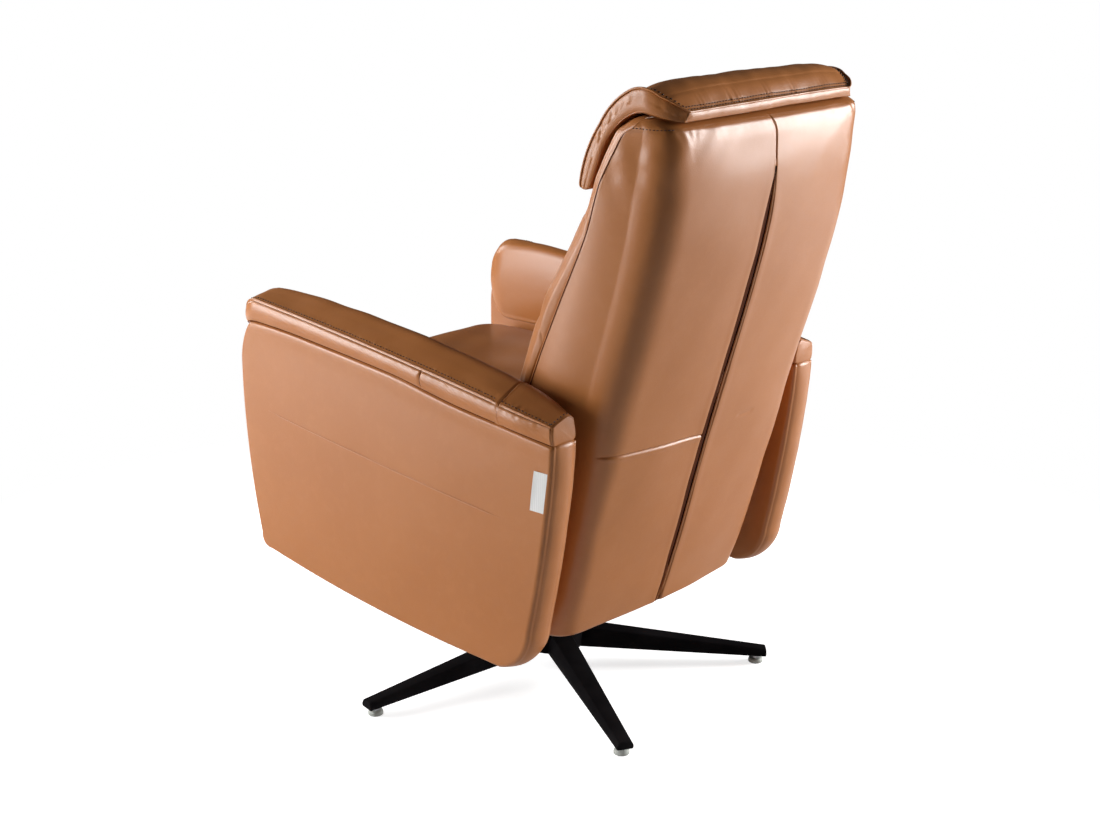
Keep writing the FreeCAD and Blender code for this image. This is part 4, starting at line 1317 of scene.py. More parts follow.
    def dress_pad(self, skin: Skin, seed: int, ends: tuple[float, float]) -> Skin:
        """Sew and wrinkle a pad: its seams, puckers along them and soft waves on top.

        Args:
            skin: the plain pad.
            seed: fixes its wrinkles.
            ends: the y where its sewn edges start and stop.

        Returns:
            The same skin.
        """
        y = skin.loops[..., 1]
        columns = np.arange(skin.loops.shape[1], dtype=float)[None, :]
        run = step(y, ends[0], ends[0] + 26) * step(y, ends[1], ends[1] - 8)
        top = step(columns, 24, 34) * step(columns, 70, 58)
        boxing = step(columns, 1, 5) * step(columns, 21, 16)
        pucker = np.sin(y / 2.9 + 1.5 * np.sin(y / 37)) * np.sin(y / 11 + seed)
        height = -1.5 * groove(columns - 20.4, 0.7) * run - 0.2 * groove(columns - 26, 0.8) * run
        height += pucker * 0.30 * (groove(columns - 18, 2.4) + groove(columns - 27, 2.4)) * run
        height += puckers(y, seed, 9) * 0.40 * groove(columns - 28, 3) * run
        height += -1.5 * groove(columns - 0.2, 1) * run
        height += ripple(skin.loops, 85, seed) * (0.75 * top + 0.35 * boxing)
        line = self.cross_seam_y - 3 * np.sin(np.clip(columns / 20, 0, 1) * math.pi)
        height += -1.8 * groove(y - line, 1.5) * step(columns, 2, 5) * step(columns, 21, 19)
        return skin.push(height)

    def side_crease(self, body: Object) -> Array:
        """The line of the thin raised fold across the outer panel.

        Args:
            body: the arm's body.

        Returns:
            Points on its outer face.
        """
        mesh = body.data
        tree = BVHTree.FromPolygons([v.co for v in mesh.vertices], [tuple(p.vertices) for p in mesh.polygons])
        points = []
        for share in np.linspace(0, 1, 90):
            start = Vector((0.45 * self.sign(), -0.352 + 0.557 * share,
                            0.4715 - 0.057 * share - 0.0025 * math.sin(math.pi * share)))
            hit = tree.ray_cast(start, Vector((-self.sign(), 0, 0)))[0]
            points.append((hit[0] / MM, hit[1] / MM, hit[2] / MM))
        return smoothed(np.array(points), 2)

    def tag(self) -> Object:
        """A small blank woven label, sewn into the rear seam of the outer panel.

        Returns:
            The label.
        """
        rows = []
        for t in np.linspace(0, 1, 17):
            z = self.tag_top - self.tag_length * t
            y = float(np.interp(z, (360, 549), (277, 302))) - 3
            curl = 0.6 + 0.4 * math.sin(2.2 * t + 0.6)
            lifts = [(u, 0.5 + 3.2 * u ** 1.5 * curl) for u in np.linspace(0, 1, 9)]
            rows.append([((self.outer + lift) * self.sign(), y - self.tag_width * u, z + 0.8 * u)
                         for u, lift in lifts])
        points = np.array(rows)
        return mesh_object("blank_tag", points, grid_faces(*points.shape[:2], ring=False), self.finishes.tag)

    def build(self) -> None:
        """Build the arm's pieces."""
        side, finishes = self.side.name.lower(), self.finishes
        body = self.body_skin().build(self.name("arm_body"), finishes.hide)
        front = self.dress_pad(self.front_pad_skin(), 41, (self.nose_y + 12, self.joint_y - 3))
        long_pad = front.build(self.name("long_pad"), finishes.hide)
        rear = self.dress_pad(self.rear_pad_skin(), 43, (self.joint_y - 12, self.rear_y + 4))
        short_pad = rear.build(self.name("short_pad"), finishes.hide)
        rows, cords = [], []

        def cord(name: str, points: Array, radius: float, taper: float, dark: bool = False) -> None:
            """Lay one thin cord, or one seam line in painted shade."""
            cords.append(tube(self.name(name), points, radius, finishes.painted_shade_hide if dark else finishes.hide,
                              6 if dark else 8, taper))

        for skin, first, last in ((front, 7, 6), (rear, 4, 3)):
            places = np.arange(first, len(skin.loops) - 1 - last, 0.5)
            rows.append(skin.trail(places, self.stitch_column, 0.35))
            cord("seam_cord", skin.trail(places, self.cord_column)[0], 1.2, 8)
            # The dark seam lines are painted shade of the seam grooves.
            cord("seam_line", skin.trail(places, self.line_column, -0.25)[0], 0.55, 6, True)
            cord("lower_seam", skin.trail(places, 0.8, 0.3)[0], 0.8, 6, True)
        row = float(np.interp(self.cross_seam_y, front.loops[:, 10, 1], np.arange(len(front.loops))))
        spots = np.arange(4, 20, 0.5)
        # Dark line in painted shade along the boxing's cross seam.
        cord("boxing_seam", front.trail(row - 4 * np.sin(spots / 20 * math.pi), spots, 0.15)[0], 0.8, 4, True)
        cord("side_crease", self.side_crease(body), 1.35, 40)
        # Dark line in painted shade at the joint between the two pads.
        cord("joint_line", front.trail(len(front.loops) - 1.2, np.arange(22, 74, 0.5))[0], 0.8, 5, True)
        cord("end_cord", rear.trail(len(rear.loops) - 2.6, np.arange(23, 68, 0.5), 0.1)[0], 1.1, 6)
        rows.append(rear.trail(len(rear.loops) - 7.4, np.arange(27, 70, 0.5), 0.2))
        sewing = stitches(self.name("arm_stitches"), rows, finishes.thread, 6.6, 3.5, 0.85)
        for piece in (*cords, sewing):
            settle(piece, "seat", LEATHER)
        panels = (f"arm_{part}_{side}" for part in ("outer_panel", "edge_band", "inner_panel"))
        settle(body, "seat", LEATHER, *panels)
        settle(long_pad, "seat", LEATHER, f"arm_pad_{side}", fill=0.9)
        settle(short_pad, "seat", LEATHER, f"arm_rear_pad_{side}", fill=0.9)
        if self.side is Side.LEFT:
            tag = self.tag()
            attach(tag, "seat")


@dataclass
class Backrest:
    """The rear cover with its zip, and the padded front of the back."""

    finishes: Finishes
    halves: Curve = Curve(((184, 232), (250, 236), (323, 238), (414, 240), (500, 244),
                           (620, 248), (880, 248), (1009, 247), (1024, 246)))
    side_seam: Curve = Curve(((415, 118), (500, 139), (590, 166), (727, 228), (850, 288),
                              (930, 314), (985, 344), (1005, 358), (1014, 372), (1028, 382)))
    rears: Curve = Curve(((184, 225), (250, 247), (323, 269), (414, 294), (500, 318),
                          (590, 344), (727, 386), (850, 418), (930, 430), (985, 435),
                          (1009, 434), (1024, 428)))
    corners: Curve = Curve(((184, 42), (430, 42), (600, 56), (850, 58), (950, 54),
                            (1009, 46), (1028, 34)))
    corner_power: float = 2.6
    low_fronts: Curve = Curve(((184, 176), (250, 198), (323, 220), (414, 244)))
    depths: Curve = Curve(((415, 10), (424, 20), (440, 26), (465, 30), (530, 32),
                           (594, 33), (640, 38), (727, 46), (787, 43), (850, 36),
                           (888, 27), (902, 23), (914, 21), (945, 24), (975, 27),
                           (1000, 28), (1012, 30), (1028, 22)))
    bows: Curve = Curve(((415, 2), (440, 9), (530, 26), (615, 24), (727, 16), (850, 12),
                         (888, 5), (902, 2), (914, 1), (1009, 1)))
    bow_of: Curve = Curve(((184, 14), (900, 14), (985, 7), (1024, 3)))
    lower_join: float = 408
    top_seam: float = 1012

    def rear_positions(self, limit: float) -> Array:
        """X of the columns across the rear, close together at the zip."""
        return np.concatenate([np.linspace(limit, 25, 60, endpoint=False), np.linspace(25, -11, 40),
                               np.linspace(-11, -limit, 60)[1:]])

    def cover_loop(self, z: float, inset: float = 0, deep: float = 0) -> Array:
        """One cut of the rear cover, from its left side seam round the rear to the right one.

        Args:
            z: height of the cut.
            inset: how far it stands in all round.
            deep: how far its rear stands in.

        Returns:
            The closed loop.
        """
        half, rear, corner = float(self.halves(z)), float(self.rears(z)), float(self.corners(z))
        if z < self.lower_join:
            front = float(self.low_fronts(z))
        else:
            front = 243 + (float(self.side_seam(z)) - 243) * float(step(z, self.lower_join, 424))
        half, rear, front = half - inset, rear - max(inset, deep), front + (inset if z < 300 else 0)
        corner = min(corner, (rear - front) * 0.9)
        turn = np.linspace(0, math.pi / 2, 24, endpoint=False)
        turn = turn + np.sin(4 * turn) * -0.18
        power = 2 / self.corner_power
        sides = line_points((half, front), (half, rear - corner), 22)
        off = rear - corner - sides[:, 1]
        sides[:, 0] += 5.5 * np.sin(math.pi * np.clip(off / 120, 0, 1)) - 2.6 * step(off, 70, 130)
        limit = half - corner
        far = corner * np.clip(np.cos(turn), 0, 1) ** power
        deep = corner * np.clip(np.sin(turn), 0, 1) ** power
        corner_left = np.stack([limit + far, rear - corner + deep], 1)
        xs = self.rear_positions(limit)
        across = np.stack([xs, np.full(len(xs), rear)], 1)
        corner_right = (corner_left * (-1, 1))[::-1]
        rounded = np.concatenate([corner_left, across, corner_right])
        rounded[:, 1] += float(self.bow_of(z)) * (1 - (rounded[:, 0] / half) ** 2)
        right = (sides * (-1, 1))[::-1]
        inner = np.stack([np.linspace(-half, half, 34)[1:-1], np.full(32, front)], 1)
        flat = np.concatenate([sides, rounded, right, inner])
        return np.column_stack([flat, np.full(len(flat), z)])

    def cover_skin(self) -> Skin:
        """The rear cover with its lumbar seam, pinched zip and soft waves.

        Returns:
            The cover's surface.
        """
        heights = [(184.4, 5), (185, 2.4), (187, 0.8)]
        heights += [(z, 0) for z in np.arange(190, 404, 3.5)]
        heights += [(z, 0) for z in np.arange(405, 428, 1.6)]
        heights += [(z, 0) for z in np.arange(431, 494, 3.5)]
        heights += [(z, 0) for z in np.arange(495, 517, 1.2)]
        heights += [(z, 0) for z in np.arange(519, 1003, 3.5)]
        shoulder = Curve(((1005, 0.1), (1011, 0.5), (1014, 0.9), (1017, 1.6), (1020, 2.8), (1022.5, 4.6),
                          (1025, 7.5), (1026, 9.5)))
        loops = [self.cover_loop(z, inset) for z, inset in heights]
        for z, deep in ((1005, 0), (1008, 0.2), (1010, 0.6), (1012, 1.3), (1014, 2.6), (1016, 4.8),
                        (1018, 8), (1020.2, 12), (1022.6, 17), (1024.6, 22), (1026, 28)):
            loops.append(self.cover_loop(z, float(shoulder(z)), deep))
        skin = Skin(np.array(loops))
        x, y, z = skin.axes()
        normal = skin.normals()
        rear = step(normal[..., 1], 0.35, 0.8)
        side = step(np.abs(normal[..., 0]), 0.5, 0.9) * (1 - rear)
        height = ripple(skin.loops, 190, 3) * 1.5 * (rear + 0.7 * side)
        height += ripple(skin.loops, 75, 4) * 0.45 * rear
        height += self.zip_height(x, z) * rear
        height += self.lumbar_height(x, z) * rear
        middle = 12 * step(z, 980, 1024) ** 1.5
        height += -2 * groove(x - middle, 1.2) * step(z, 946, 952) * rear
        height += -0.9 * groove(z - self.top_seam + 1, 1.4) * side
        height += 1.4 * ripple(skin.loops, 48, 63) * side * step(z, 880, 960)
        height += self.gathers(x, z) * rear
        return skin.push(height)

    def gathers(self, x: Array, z: Array) -> Array:
        """The sewn edge under the headrest, with the leather pulled up to it near each corner.

        Args:
            x: X of the points.
            z: Z of the points.

        Returns:
            One height for each point.
        """
        below = self.top_seam - z
        corner = groove(np.abs(x) - 200, 22)
        pulls = puckers(x + below * 0.5, 61, 13) * np.exp(-np.abs(below - 4) / 12)
        creases = (0.7 * groove(x - 222 + below * 0.5, 5) + groove(x - 205 + below * 0.4, 5.5)
                   + 0.6 * groove(x - 188 - below * 0.2, 6)) * np.exp(-np.abs(below - 6) / 8)
        folds = ripple(np.stack([x + z * 0.8, z * 0.3, x * 0], -1), 60, 62) * step(z, 860, 980)
        return 2 * pulls * (0.06 + corner) - 2 * creases + 0.6 * folds * step(np.abs(x), 60, 150)

    def zip_height(self, x: Array, z: Array) -> Array:
        """Depth of the pinched channel of the zip, with the black gap and the light ridge beside it.

        Args:
            x: X of the points.
            z: Z of the points.

        Returns:
            One height for each point.
        """
        spread = step(z, 952, 850) * (1 - 0.30 * step(z, 330, 190))
        left = -4.8 * spread
        right = 2 + 12.5 * spread
        channel = step(x, left - 1.5, left + 0.5) * step(x, right + 1.5, right - 2)
        present = step(z, 958, 930)
        deep = -3.6 * channel * spread
        gap = -4 * groove(x + 1.8 * spread, 2.2) * present * (0.45 + 0.55 * spread)
        ridge = 0.8 * groove(x - 2.4, 1.6) * present
        shoulders = 0.5 * (groove(x - right - 7, 7) + groove(x - left + 8, 7)) * spread
        return deep + gap + ridge + shoulders

    def lumbar_height(self, x: Array, z: Array) -> Array:
        """The lumbar seam on the left half, and a faint crease on the right.

        Args:
            x: X of the points.
            z: Z of the points.

        Returns:
            One height for each point.
        """
        line = 500 + 10 * np.clip((x - 15) / 185, 0, 1.3) ** 0.7
        left = step(x, 12, 18) * step(x, 246, 236)
        crease = groove(z - line, 1.6) * left
        lip = 0.6 * groove(z - line + 5, 4) * left
        faint = groove(z - 514 + (x + 95) * 0.03, 4) * step(x, -70, -80) * step(x, -124, -108)
        return -2.8 * crease + 1.3 * lip - 0.8 * faint

    def cushion_loop(self, z: float, inset: float = 0) -> Array:
        """One cut of the front cushion, from its left side seam round the front to the right one.

        Args:
            z: height of the cut.
            inset: how far it stands in.

        Returns:
            The closed loop.
        """
        half = float(self.halves(z)) - 1 - inset
        seam = float(self.side_seam(z)) - 0.4
        depth, bow = float(self.depths(z)), float(self.bows(z))
        corner = min(30, depth * 0.8)
        front = seam - depth + inset
        turn = np.linspace(0, math.pi / 2, 12, endpoint=False)
        sides = line_points((half, seam), (half, front + corner), 14)
        sides[:, 0] -= 2.2 * (1 - np.linspace(0, 1, 14, endpoint=False)) ** 6
        left = np.stack([half - corner + corner * np.cos(turn), front + corner - corner * np.sin(turn)], 1)
        limit = half - corner
        xs = np.linspace(limit, -limit, 90)
        across = np.stack([xs, front - bow * (1 - (xs / limit) ** 2)], 1)
        right = (np.concatenate([sides, left[1:]]) * (-1, 1))[::-1]
        inner = np.stack([np.linspace(-half, half, 34)[1:-1], np.full(32, seam)], 1)
        flat = np.concatenate([sides, left, across, right, inner])
        return np.column_stack([flat, np.full(len(flat), z)])

    def cushion_skin(self) -> Skin:
        """The front cushion, with two cross seams and a groove round its front.

        Returns:
            The cushion's surface.
        """
        heights = [(415, 6), (416, 3), (418, 1.2)] + [(z, 0) for z in np.arange(421, 1003, 3.4)]
        heights += [(1005, 0.1), (1008, 0.2), (1011, 0.5), (1014, 0.9), (1017, 1.6), (1020, 2.8),
                    (1022.5, 4.6), (1025, 7.5), (1026.8, 11)]
        skin = Skin(np.array([self.cushion_loop(z, inset) for z, inset in heights]))
        x, y, z = skin.axes()
        columns = np.arange(skin.loops.shape[1], dtype=float)[None, :]
        front = step(columns, 16, 24) * step(columns, 138, 130)
        edge = groove(columns - 17, 0.9) + groove(columns - 137, 0.9)
        boxing = np.clip(groove(columns - 8, 7) + groove(columns - 146, 7), 0, 1)
        slope = np.clip((30 - np.clip(y - self.side_seam(z) + 36, 0, 36)) / 30, -0.2, 1)
        seams = groove(z - 680 - 35 * slope, 2.4) + groove(z - 868 - 22 * slope, 2.4)
        sunk = groove(z - 715, 14) + groove(z - 890, 12)
        height = -1.6 * edge - 1.7 * seams * np.maximum(front, boxing) - 4 * sunk * front
        height += ripple(skin.loops, 110, 12) * 1.1 * front + ripple(skin.loops, 40, 13) * 0.25
        return skin.push(height)

    def build(self) -> None:
        """Build the cover, its zip flap in painted shade and the cushion."""
        skin, finishes = self.cover_skin(), self.finishes
        cover = skin.build("rear_cover", finishes.hide)
        cushion = self.cushion_skin().build("back_pad", finishes.hide)
        flap, gap, fold = self.zip_pieces()
        settle(cover, "backrest", LEATHER, "back_rear_pad", "back_lower_panel", fill=0.8)
        settle(cushion, "backrest", LEATHER, "back_cushion", fill=0.8)
        settle(flap, "backrest", "zip_tape", "back_zip")
        settle(gap, "backrest", "zip_tape")
        seam, low, high = (float(np.interp(z, skin.loops[:, 0, 2], np.arange(len(skin.loops))))
                           for z in (self.top_seam + 0.8, 432, 1008))
        last = skin.loops.shape[1] - 33
        left = np.arange(1.5, 38, 0.5)
        rows = [skin.trail(seam, columns, 0.2) for columns in (left, last - left)]
        sewing = stitches("back_stitches", rows, finishes.thread)
        climb = np.arange(low, high, 0.7)
        # Dark lines up the side seams: painted shade of the seam grooves.
        lines = [tube("side_seam", skin.trail(climb, column, 0.35)[0], 0.75, finishes.painted_shade_hide, 6, 12)
                 for column in (0.6, last - 0.6)]
        for piece in (fold, sewing, *lines):
            settle(piece, "backrest", LEATHER)

    def rear_line(self, x: float, z: float) -> float:
        """Y of the plain rear of the cover at x and z."""
        return float(self.rears(z)) + float(self.bow_of(z)) * (1 - (x / float(self.halves(z))) ** 2)

    def zip_strip(self, name: str, start: float, wide: float, sunk: float, material: Material,
                  spreads: bool) -> Object:
        """A flat strip that runs down the zip.

        Args:
            name: name of the piece.
            start: X of its right edge.
            wide: its full width.
            sunk: how deep it lies below the cover.
            material: its finish.
            spreads: whether it narrows to nothing where the zip closes.

        Returns:
            The strip.
        """
        loops = []
        for z in np.arange(187, 940, 3.5):
            spread = float(step(z, 952, 850) * (1 - 0.30 * step(z, 330, 190)))
            reach = wide * (spread if spreads else 0.35 + 0.65 * spread)
            first = start * (0.5 + 0.5 * spread)
            across = np.linspace(0, 1, 9)
            y = self.rear_line(0, z) - sunk * (0.35 + 0.65 * spread)
            front = [(first + reach * t, y + 0.9 * math.sin(math.pi * t), z) for t in across]
            back = [(first + reach * t, y - 2.2, z) for t in across[::-1]]
            loops.append(front + back)
        skin = Skin(np.array(loops))
        skin.push(ripple(skin.loops, 40, 17) * 0.2)
        return skin.build(name, material)

    def zip_pieces(self) -> list[Object]:
        """The flap in painted shade of the channel's wall, the gap strip in painted shadow, and the thin fold
        between them.

        Returns:
            The flap, the gap and the fold.
        """
        # Dark brown strip: painted shade of the zip channel's inner wall.
        flap = self.zip_strip("zip_flap_painted_shade", 3.6, 9.8, 2.4, self.finishes.painted_shade_hide, True)
        # Near-black strip: painted shadow in the zip's gap.
        gap = self.zip_strip("zip_gap_painted_shadow", -4.6, 5.6, 2.6, self.finishes.shade, False)
        zs = np.arange(187, 934, 4)
        spread = step(zs, 952, 850)
        line = np.stack([1.4 + 0.8 * spread, [self.rear_line(0, z) + 0.2 for z in zs], zs], 1)
        fold = tube("zip_fold", line, 1.45, self.finishes.hide, 8, taper=30)
        return [flap, gap, fold]


@dataclass
class Headrest:
    """The pad that folds over the top of the back."""

    finishes: Finishes
    half: float = 236
    rear_half: float = 193
    taper_from: float = 376
    taper_to: float = 434.5
    count: int = 168
    seam_back: float = 13.4

    def sides(self) -> tuple[Array, Array]:
        """The outer and the inner side of the pad in side view, both from the front tip to the rear edge.

        Returns:
            The outer and the inner path, as (y, z) points.
        """
        outer = np.concatenate([
            arc_points((271, 913.6), (264.6, 915.6), (262, 922), 6),
            arc_points((262, 922), (272, 962), (298, 1010), 44),
            arc_points((298, 1010), (319, 1038), (348, 1060), 34),
            arc_points((348, 1060), (374, 1067.5), (405, 1058), 34),
            arc_points((405, 1058), (422, 1050), (434, 1038), 20),
            line_points((434, 1038), (431, 1023.5), 10), [(431, 1023.5)]])
        inner = np.concatenate([
            arc_points((271, 913.6), (277, 914.4), (281, 918), 5),
            line_points((281, 918), (301, 968), 24),
            arc_points((301, 968), (322, 1003), (350, 1026), 26),
            arc_points((350, 1026), (362, 1031), (377, 1033), 14),
            line_points((377, 1033), (431, 1023.5), 20), [(431, 1023.5)]])
        return outer, inner

    def spaced(self, path: Array) -> tuple[Array, Array]:
        """Evenly spaced points of a path, and how far along it each lies.

        Args:
            path: points in side view.

        Returns:
            The points and their distances along the path.
        """
        along = np.concatenate([[0], np.cumsum(np.linalg.norm(np.diff(path, axis=0), axis=1))])
        places = (np.arange(self.count) + 0.5) / self.count * along[-1]
        return np.stack([np.interp(places, along, path[:, axis]) for axis in range(2)], 1), places

    def stations(self) -> Array:
        """Rows of the pad: distance from its end, and how far the section has opened there.

        Returns:
            Pairs of distance and opening, from the end inwards.
        """
        return np.array([
            (0.6, 0.02), (0.6, 0.2), (0.6, 0.36), (0.7, 0.52), (1, 0.66), (1.4, 0.78), (2, 0.87),
            (2.6, 0.915), (2.2, 0.94), (1.4, 0.962), (1, 0.980), (1.6, 0.995), (3.4, 1), (5.5, 1),
            (8, 1), (11, 1), (14.5, 1), (18.5, 1), (23, 1), (28, 1)])

    def skin(self) -> Skin:
        """The pad, swept from side to side, with a sewn gusset at each end.

        Returns:
            The dressed pad.
        """
        outer, inner = self.sides()
        front, along = self.spaced(outer)
        back, _ = self.spaced(inner)
        spine = (front + back) / 2
        flat = np.concatenate([front, back[::-1]])
        middle = np.concatenate([spine, spine[::-1]])
        ends = self.stations()
        places = [(-self.half + inset, share) for inset, share in ends]
        places += [(x, 1) for x in np.linspace(-self.half + 32, self.half - 32, 172)]
        places += [(self.half - inset, share) for inset, share in ends[::-1]]
        loops = []
        for x, share in places:
            spot = middle + (flat - middle) * share
            turn = np.clip((spot[:, 0] - self.taper_from) / (self.taper_to - self.taper_from), 0, 1)
            limit = self.half + (self.rear_half - self.half) * (1 - np.sqrt(1 - 0.98 * turn ** 2))
            loops.append(np.column_stack([x * limit / self.half, spot]))
        skin = Skin(np.array(loops))
        return self.dress(skin, np.concatenate([along, np.full(self.count, -1)]),
                          np.array([place[0] for place in places]))

    def dress(self, skin: Skin, along: Array, places: Array) -> Skin:
        """Crown, wrinkle and sew the pad.

        Args:
            skin: the plain pad.
            along: how far each column lies along the outer side, or -1 on the inner side.
            places: the x of each row before the pad narrows.

        Returns:
            The same skin.
        """
        x, y, z = skin.axes()
        outside = (along >= 0)[None, :] * 1
        seam = along[self.count - 1] - self.seam_back
        rear = seam - along[None, :]
        side = (self.half - np.abs(places))[:, None]
        rows = np.arange(len(places), dtype=float)
        near = np.minimum(rows, rows[::-1])[:, None]
        gusset = step(near, 9, 6)
        body = step(near, 10, 15)
        top = outside * body * step(rear, -2, 6)
        inwards = 1 - np.exp(-np.clip(side - 6, 0, None) / 34)
        front = step(y, 345, 295) * step(z, 912, 950)
        crown = (4 + 7 * groove(y - 392, 46) + 7 * front) * inwards * step(rear, 3, 40) * outside
        pinch = -4 * groove(np.hypot(x - 215, (y - 352) * 0.8), 16) * outside * body
        waves = ripple(skin.loops, 95, 21) * 1.1 + ripple(skin.loops, 38, 22) * 0.45
        height = (crown - 3) * top + waves * body * (0.4 + 0.6 * outside) + pinch
        height += puckers(x, 51, 10) * 0.8 * np.exp(-np.abs(rear - 9) / 12) * top
        height += puckers(along[None, :] + x * 0, 52, 13) * 0.5 * np.exp(-np.abs(side - 8) / 12) * top
        height += -1.2 * groove(rear - 0.8, 1.5) * outside * body - 0.3 * groove(rear - 6.2, 1.3) * top
        height += -0.3 * groove(rear - 10.8, 1.3) * top
        strip = groove(rear + 8, 5.5) * outside * body
        height += 1.6 * strip + puckers(x, 53, 30) * 0.35 * strip
        folds = puckers(along[None, :] + 0.5 * (y - 300), 54, 30) * 0.8
        height += folds * gusset * step(near, 8.5, 3)
        skin.push(height)
        over = step(skin.loops[..., 1], 305, 360)
        sag = 5.5 * over * step(rear, 2, 36) * outside + 4.5 * step(skin.loops[..., 1], 395, 425)
        sag = sag * np.exp(-np.clip(x + self.half, 0, None) / 48)
        tilt = -0.010 * x * step(skin.loops[..., 1], 380, 425)
        skin.loops[..., 2] += tilt - sag
        return skin

    def build(self) -> None:
        """Build the pad, its edge cord and its stitching."""
        skin = self.skin()
        outer, _ = self.sides()
        _, along = self.spaced(outer)
        pitch = along[1] - along[0]
        seam = (along[-1] - self.seam_back - along[0]) / pitch
        last = len(skin.loops) - 1

        def path(row: float, back: float) -> tuple[Array, Array]:
            """Round three sides of the pad, row rows from its ends and back millimetres off its rear seam.

            Args:
                row: rows from each end.
                back: millimetres off the rear seam.

            Returns:
                Places along the rows and along the columns.
            """
            column = seam - back / pitch
            up = np.arange(4, column, 0.5)
            over = np.linspace(row, last - row, 400)
            rows = np.concatenate([np.full(len(up), row), over, np.full(len(up), last - row)])
            return rows, np.concatenate([up, np.full(len(over), column), up[::-1]])

        pad = skin.build("head_pad", self.finishes.hide, folded=True)
        line = sweep_curve(smoothed(skin.trail(*path(10.6, 0.4), 0.5)[0], 6), 1.6)
        cord = tube("head_cord", line, 1.7, self.finishes.hide)
        rows = [skin.trail(*path(14.3, 6.2), 0.35), skin.trail(*path(15.8, 11.2), 0.35)]
        sewing = stitches("head_stitches", rows, self.finishes.thread, 6.6, 3.5, 0.85)
        settle(pad, "headrest", LEATHER, "headrest_pad", fill=0.9)
        for piece in (cord, sewing):
            settle(piece, "headrest", LEATHER)


@dataclass(frozen=True)
class Lamp:
    """One soft box on a stand, turned to the middle of the chair."""

    name: str
    azimuth: float
    height: float
    distance: float
    size: tuple[float, float]
    power: float
    aim: tuple[float, float, float] = (0, 0, 0.55)

    def hang(self) -> None:
        """Hang the lamp; angles are in degrees from +X, lengths in metres and power in watts."""
        data = bpy.data.lights.new(self.name, "AREA")
        data.shape = "RECTANGLE"
        data.size, data.size_y = self.size
        data.energy = self.power
        turn = math.radians(self.azimuth)
        spot = Vector((self.distance * math.cos(turn), self.distance * math.sin(turn), self.height))
        piece = bpy.data.objects.new(self.name, data)
        piece.location = spot
        piece.rotation_euler = (Vector(self.aim) - spot).to_track_quat("-Z", "Y").to_euler()
        bpy.context.scene.collection.objects.link(piece)


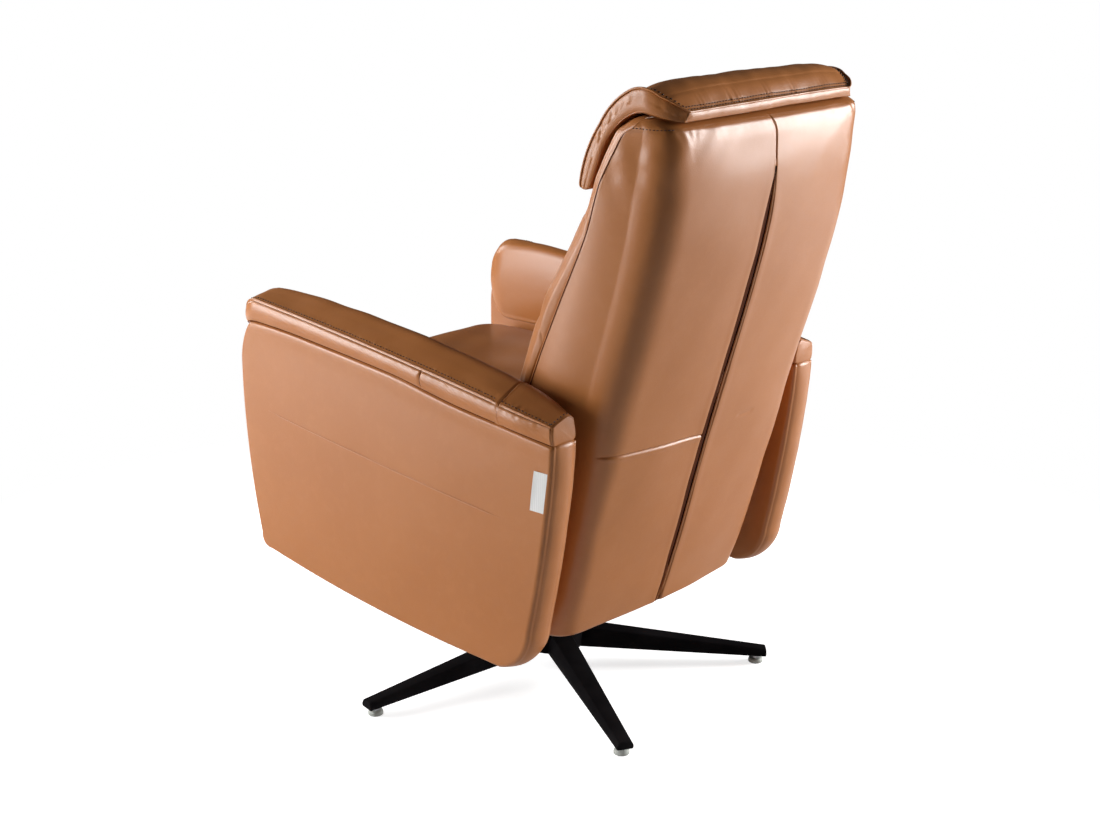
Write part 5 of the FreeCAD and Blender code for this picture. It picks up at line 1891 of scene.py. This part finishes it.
@dataclass
class Studio:
    """Pale floor, soft lamps and the camera of the photograph."""

    camera_at: tuple[float, float, float] = (2.123, 1.913, 1.340)
    yaw: float = -137.87
    pitch: float = 16.99
    roll: float = 0.21
    lens: float = 56.75
    lamps: tuple[Lamp, ...] = (Lamp("side_box", -43, 1.2, 3.4, (1.1, 1.8), 126),
                               Lamp("rear_box", 143, 1.35, 3.6, (1.4, 1.8), 190),
                               Lamp("front_box", -84, 1.5, 3.1, (1.4, 1), 42))
    sky: float = 0.05
    glow: float = 0.74
    white_from: float = 0.9
    white_to: float = 1.5
    rings: tuple[float, ...] = (0.01, 1, 2.2, 3.6, 5.2, 7, 10)
    sides: int = 72
    sunk: float = 0.0002

    def camera(self) -> None:
        """Set the camera."""
        data = bpy.data.cameras.new("camera")
        data.lens = self.lens
        data.sensor_width = 36
        data.sensor_fit = "HORIZONTAL"
        data.clip_end = 60
        yaw, pitch, roll = (math.radians(value) for value in (self.yaw, self.pitch, self.roll))
        ahead = Vector((math.cos(yaw) * math.cos(pitch), math.sin(yaw) * math.cos(pitch), -math.sin(pitch)))
        right = Vector((math.sin(yaw), -math.cos(yaw), 0))
        up = right.cross(ahead)
        tilted = right * math.cos(roll) + up * math.sin(roll)
        above = up * math.cos(roll) - right * math.sin(roll)
        turn = Matrix((tilted, above, -ahead)).transposed().to_4x4()
        piece = bpy.data.objects.new("camera", data)
        piece.matrix_world = Matrix.Translation(self.camera_at) @ turn
        bpy.context.scene.collection.objects.link(piece)
        bpy.context.scene.camera = piece

    def floor(self) -> None:
        """Lay the pale floor, which fades to white away from the chair."""
        board = Board("pale_floor")
        grain = board.cloud(5, 2, 0.5)
        colour = board.blend(grain, (0.80, 0.80, 0.80), (0.86, 0.86, 0.86))
        diffuse = board.make("ShaderNodeBsdfDiffuse", {}, {"Color": colour})
        glow, white = (board.make("ShaderNodeEmission", {}, {"Color": WHITE, "Strength": strength})
                       for strength in (self.glow, 1))
        seen = board.make("ShaderNodeLightPath", {}, {}).out("Is Camera Ray")
        across, along, _ = board.axes()
        away = (across * across + along * along).maths("SQRT").fade(self.white_from, self.white_to)
        near = board.make("ShaderNodeAddShader", {}, {0: diffuse.out(0), 1: glow.out(0)})
        shown = board.make("ShaderNodeMixShader", {}, {0: away, 1: near.out(0), 2: white.out(0)})
        mixed = board.make("ShaderNodeMixShader", {}, {0: seen, 1: diffuse.out(0), 2: shown.out(0)})
        board.make("ShaderNodeOutputMaterial", {}, {"Surface": mixed.out(0)})
        turns = np.linspace(0, 2 * math.pi, self.sides, endpoint=False)
        points = np.array([[(radius * math.cos(turn), radius * math.sin(turn), -self.sunk) for turn in turns]
                           for radius in self.rings]) / MM
        faces = grid_faces(len(self.rings), self.sides) + [tuple(range(self.sides))]
        mesh_object("floor", points, faces, board.material)

    def world(self) -> None:
        """A soft even sky, seen as white."""
        world = bpy.data.worlds.new("soft_sky")
        board = Board(world)
        seen = board.make("ShaderNodeLightPath", {}, {}).out("Is Camera Ray")
        soft, white = (board.make("ShaderNodeBackground", {}, {"Color": WHITE, "Strength": strength}).out(0)
                       for strength in (self.sky, 1))
        mixed = board.make("ShaderNodeMixShader", {}, {0: seen, 1: soft, 2: white})
        board.make("ShaderNodeOutputWorld", {}, {"Surface": mixed.out(0)})
        bpy.context.scene.world = world

    def build(self) -> None:
        """Set up the studio."""
        self.camera()
        self.floor()
        self.world()
        for lamp in self.lamps:
            lamp.hang()
        bpy.context.scene.view_settings.view_transform = "Standard"


def main() -> None:
    """Build the chair and the studio."""
    logging.basicConfig(level=logging.INFO, format="%(name)s %(message)s")
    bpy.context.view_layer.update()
    studio = Studio()
    studio.build()
    finishes = Finishes()
    Mechanism(finishes).build()
    StarBase(finishes).build()
    SeatCushion(finishes).build()
    FootrestPad(finishes).build()
    for side in Side:
        Arm(finishes, side).build()
    Backrest(finishes).build()
    Headrest(finishes).build()
    bpy.context.view_layer.update()


if __name__ == "__main__":
    main()
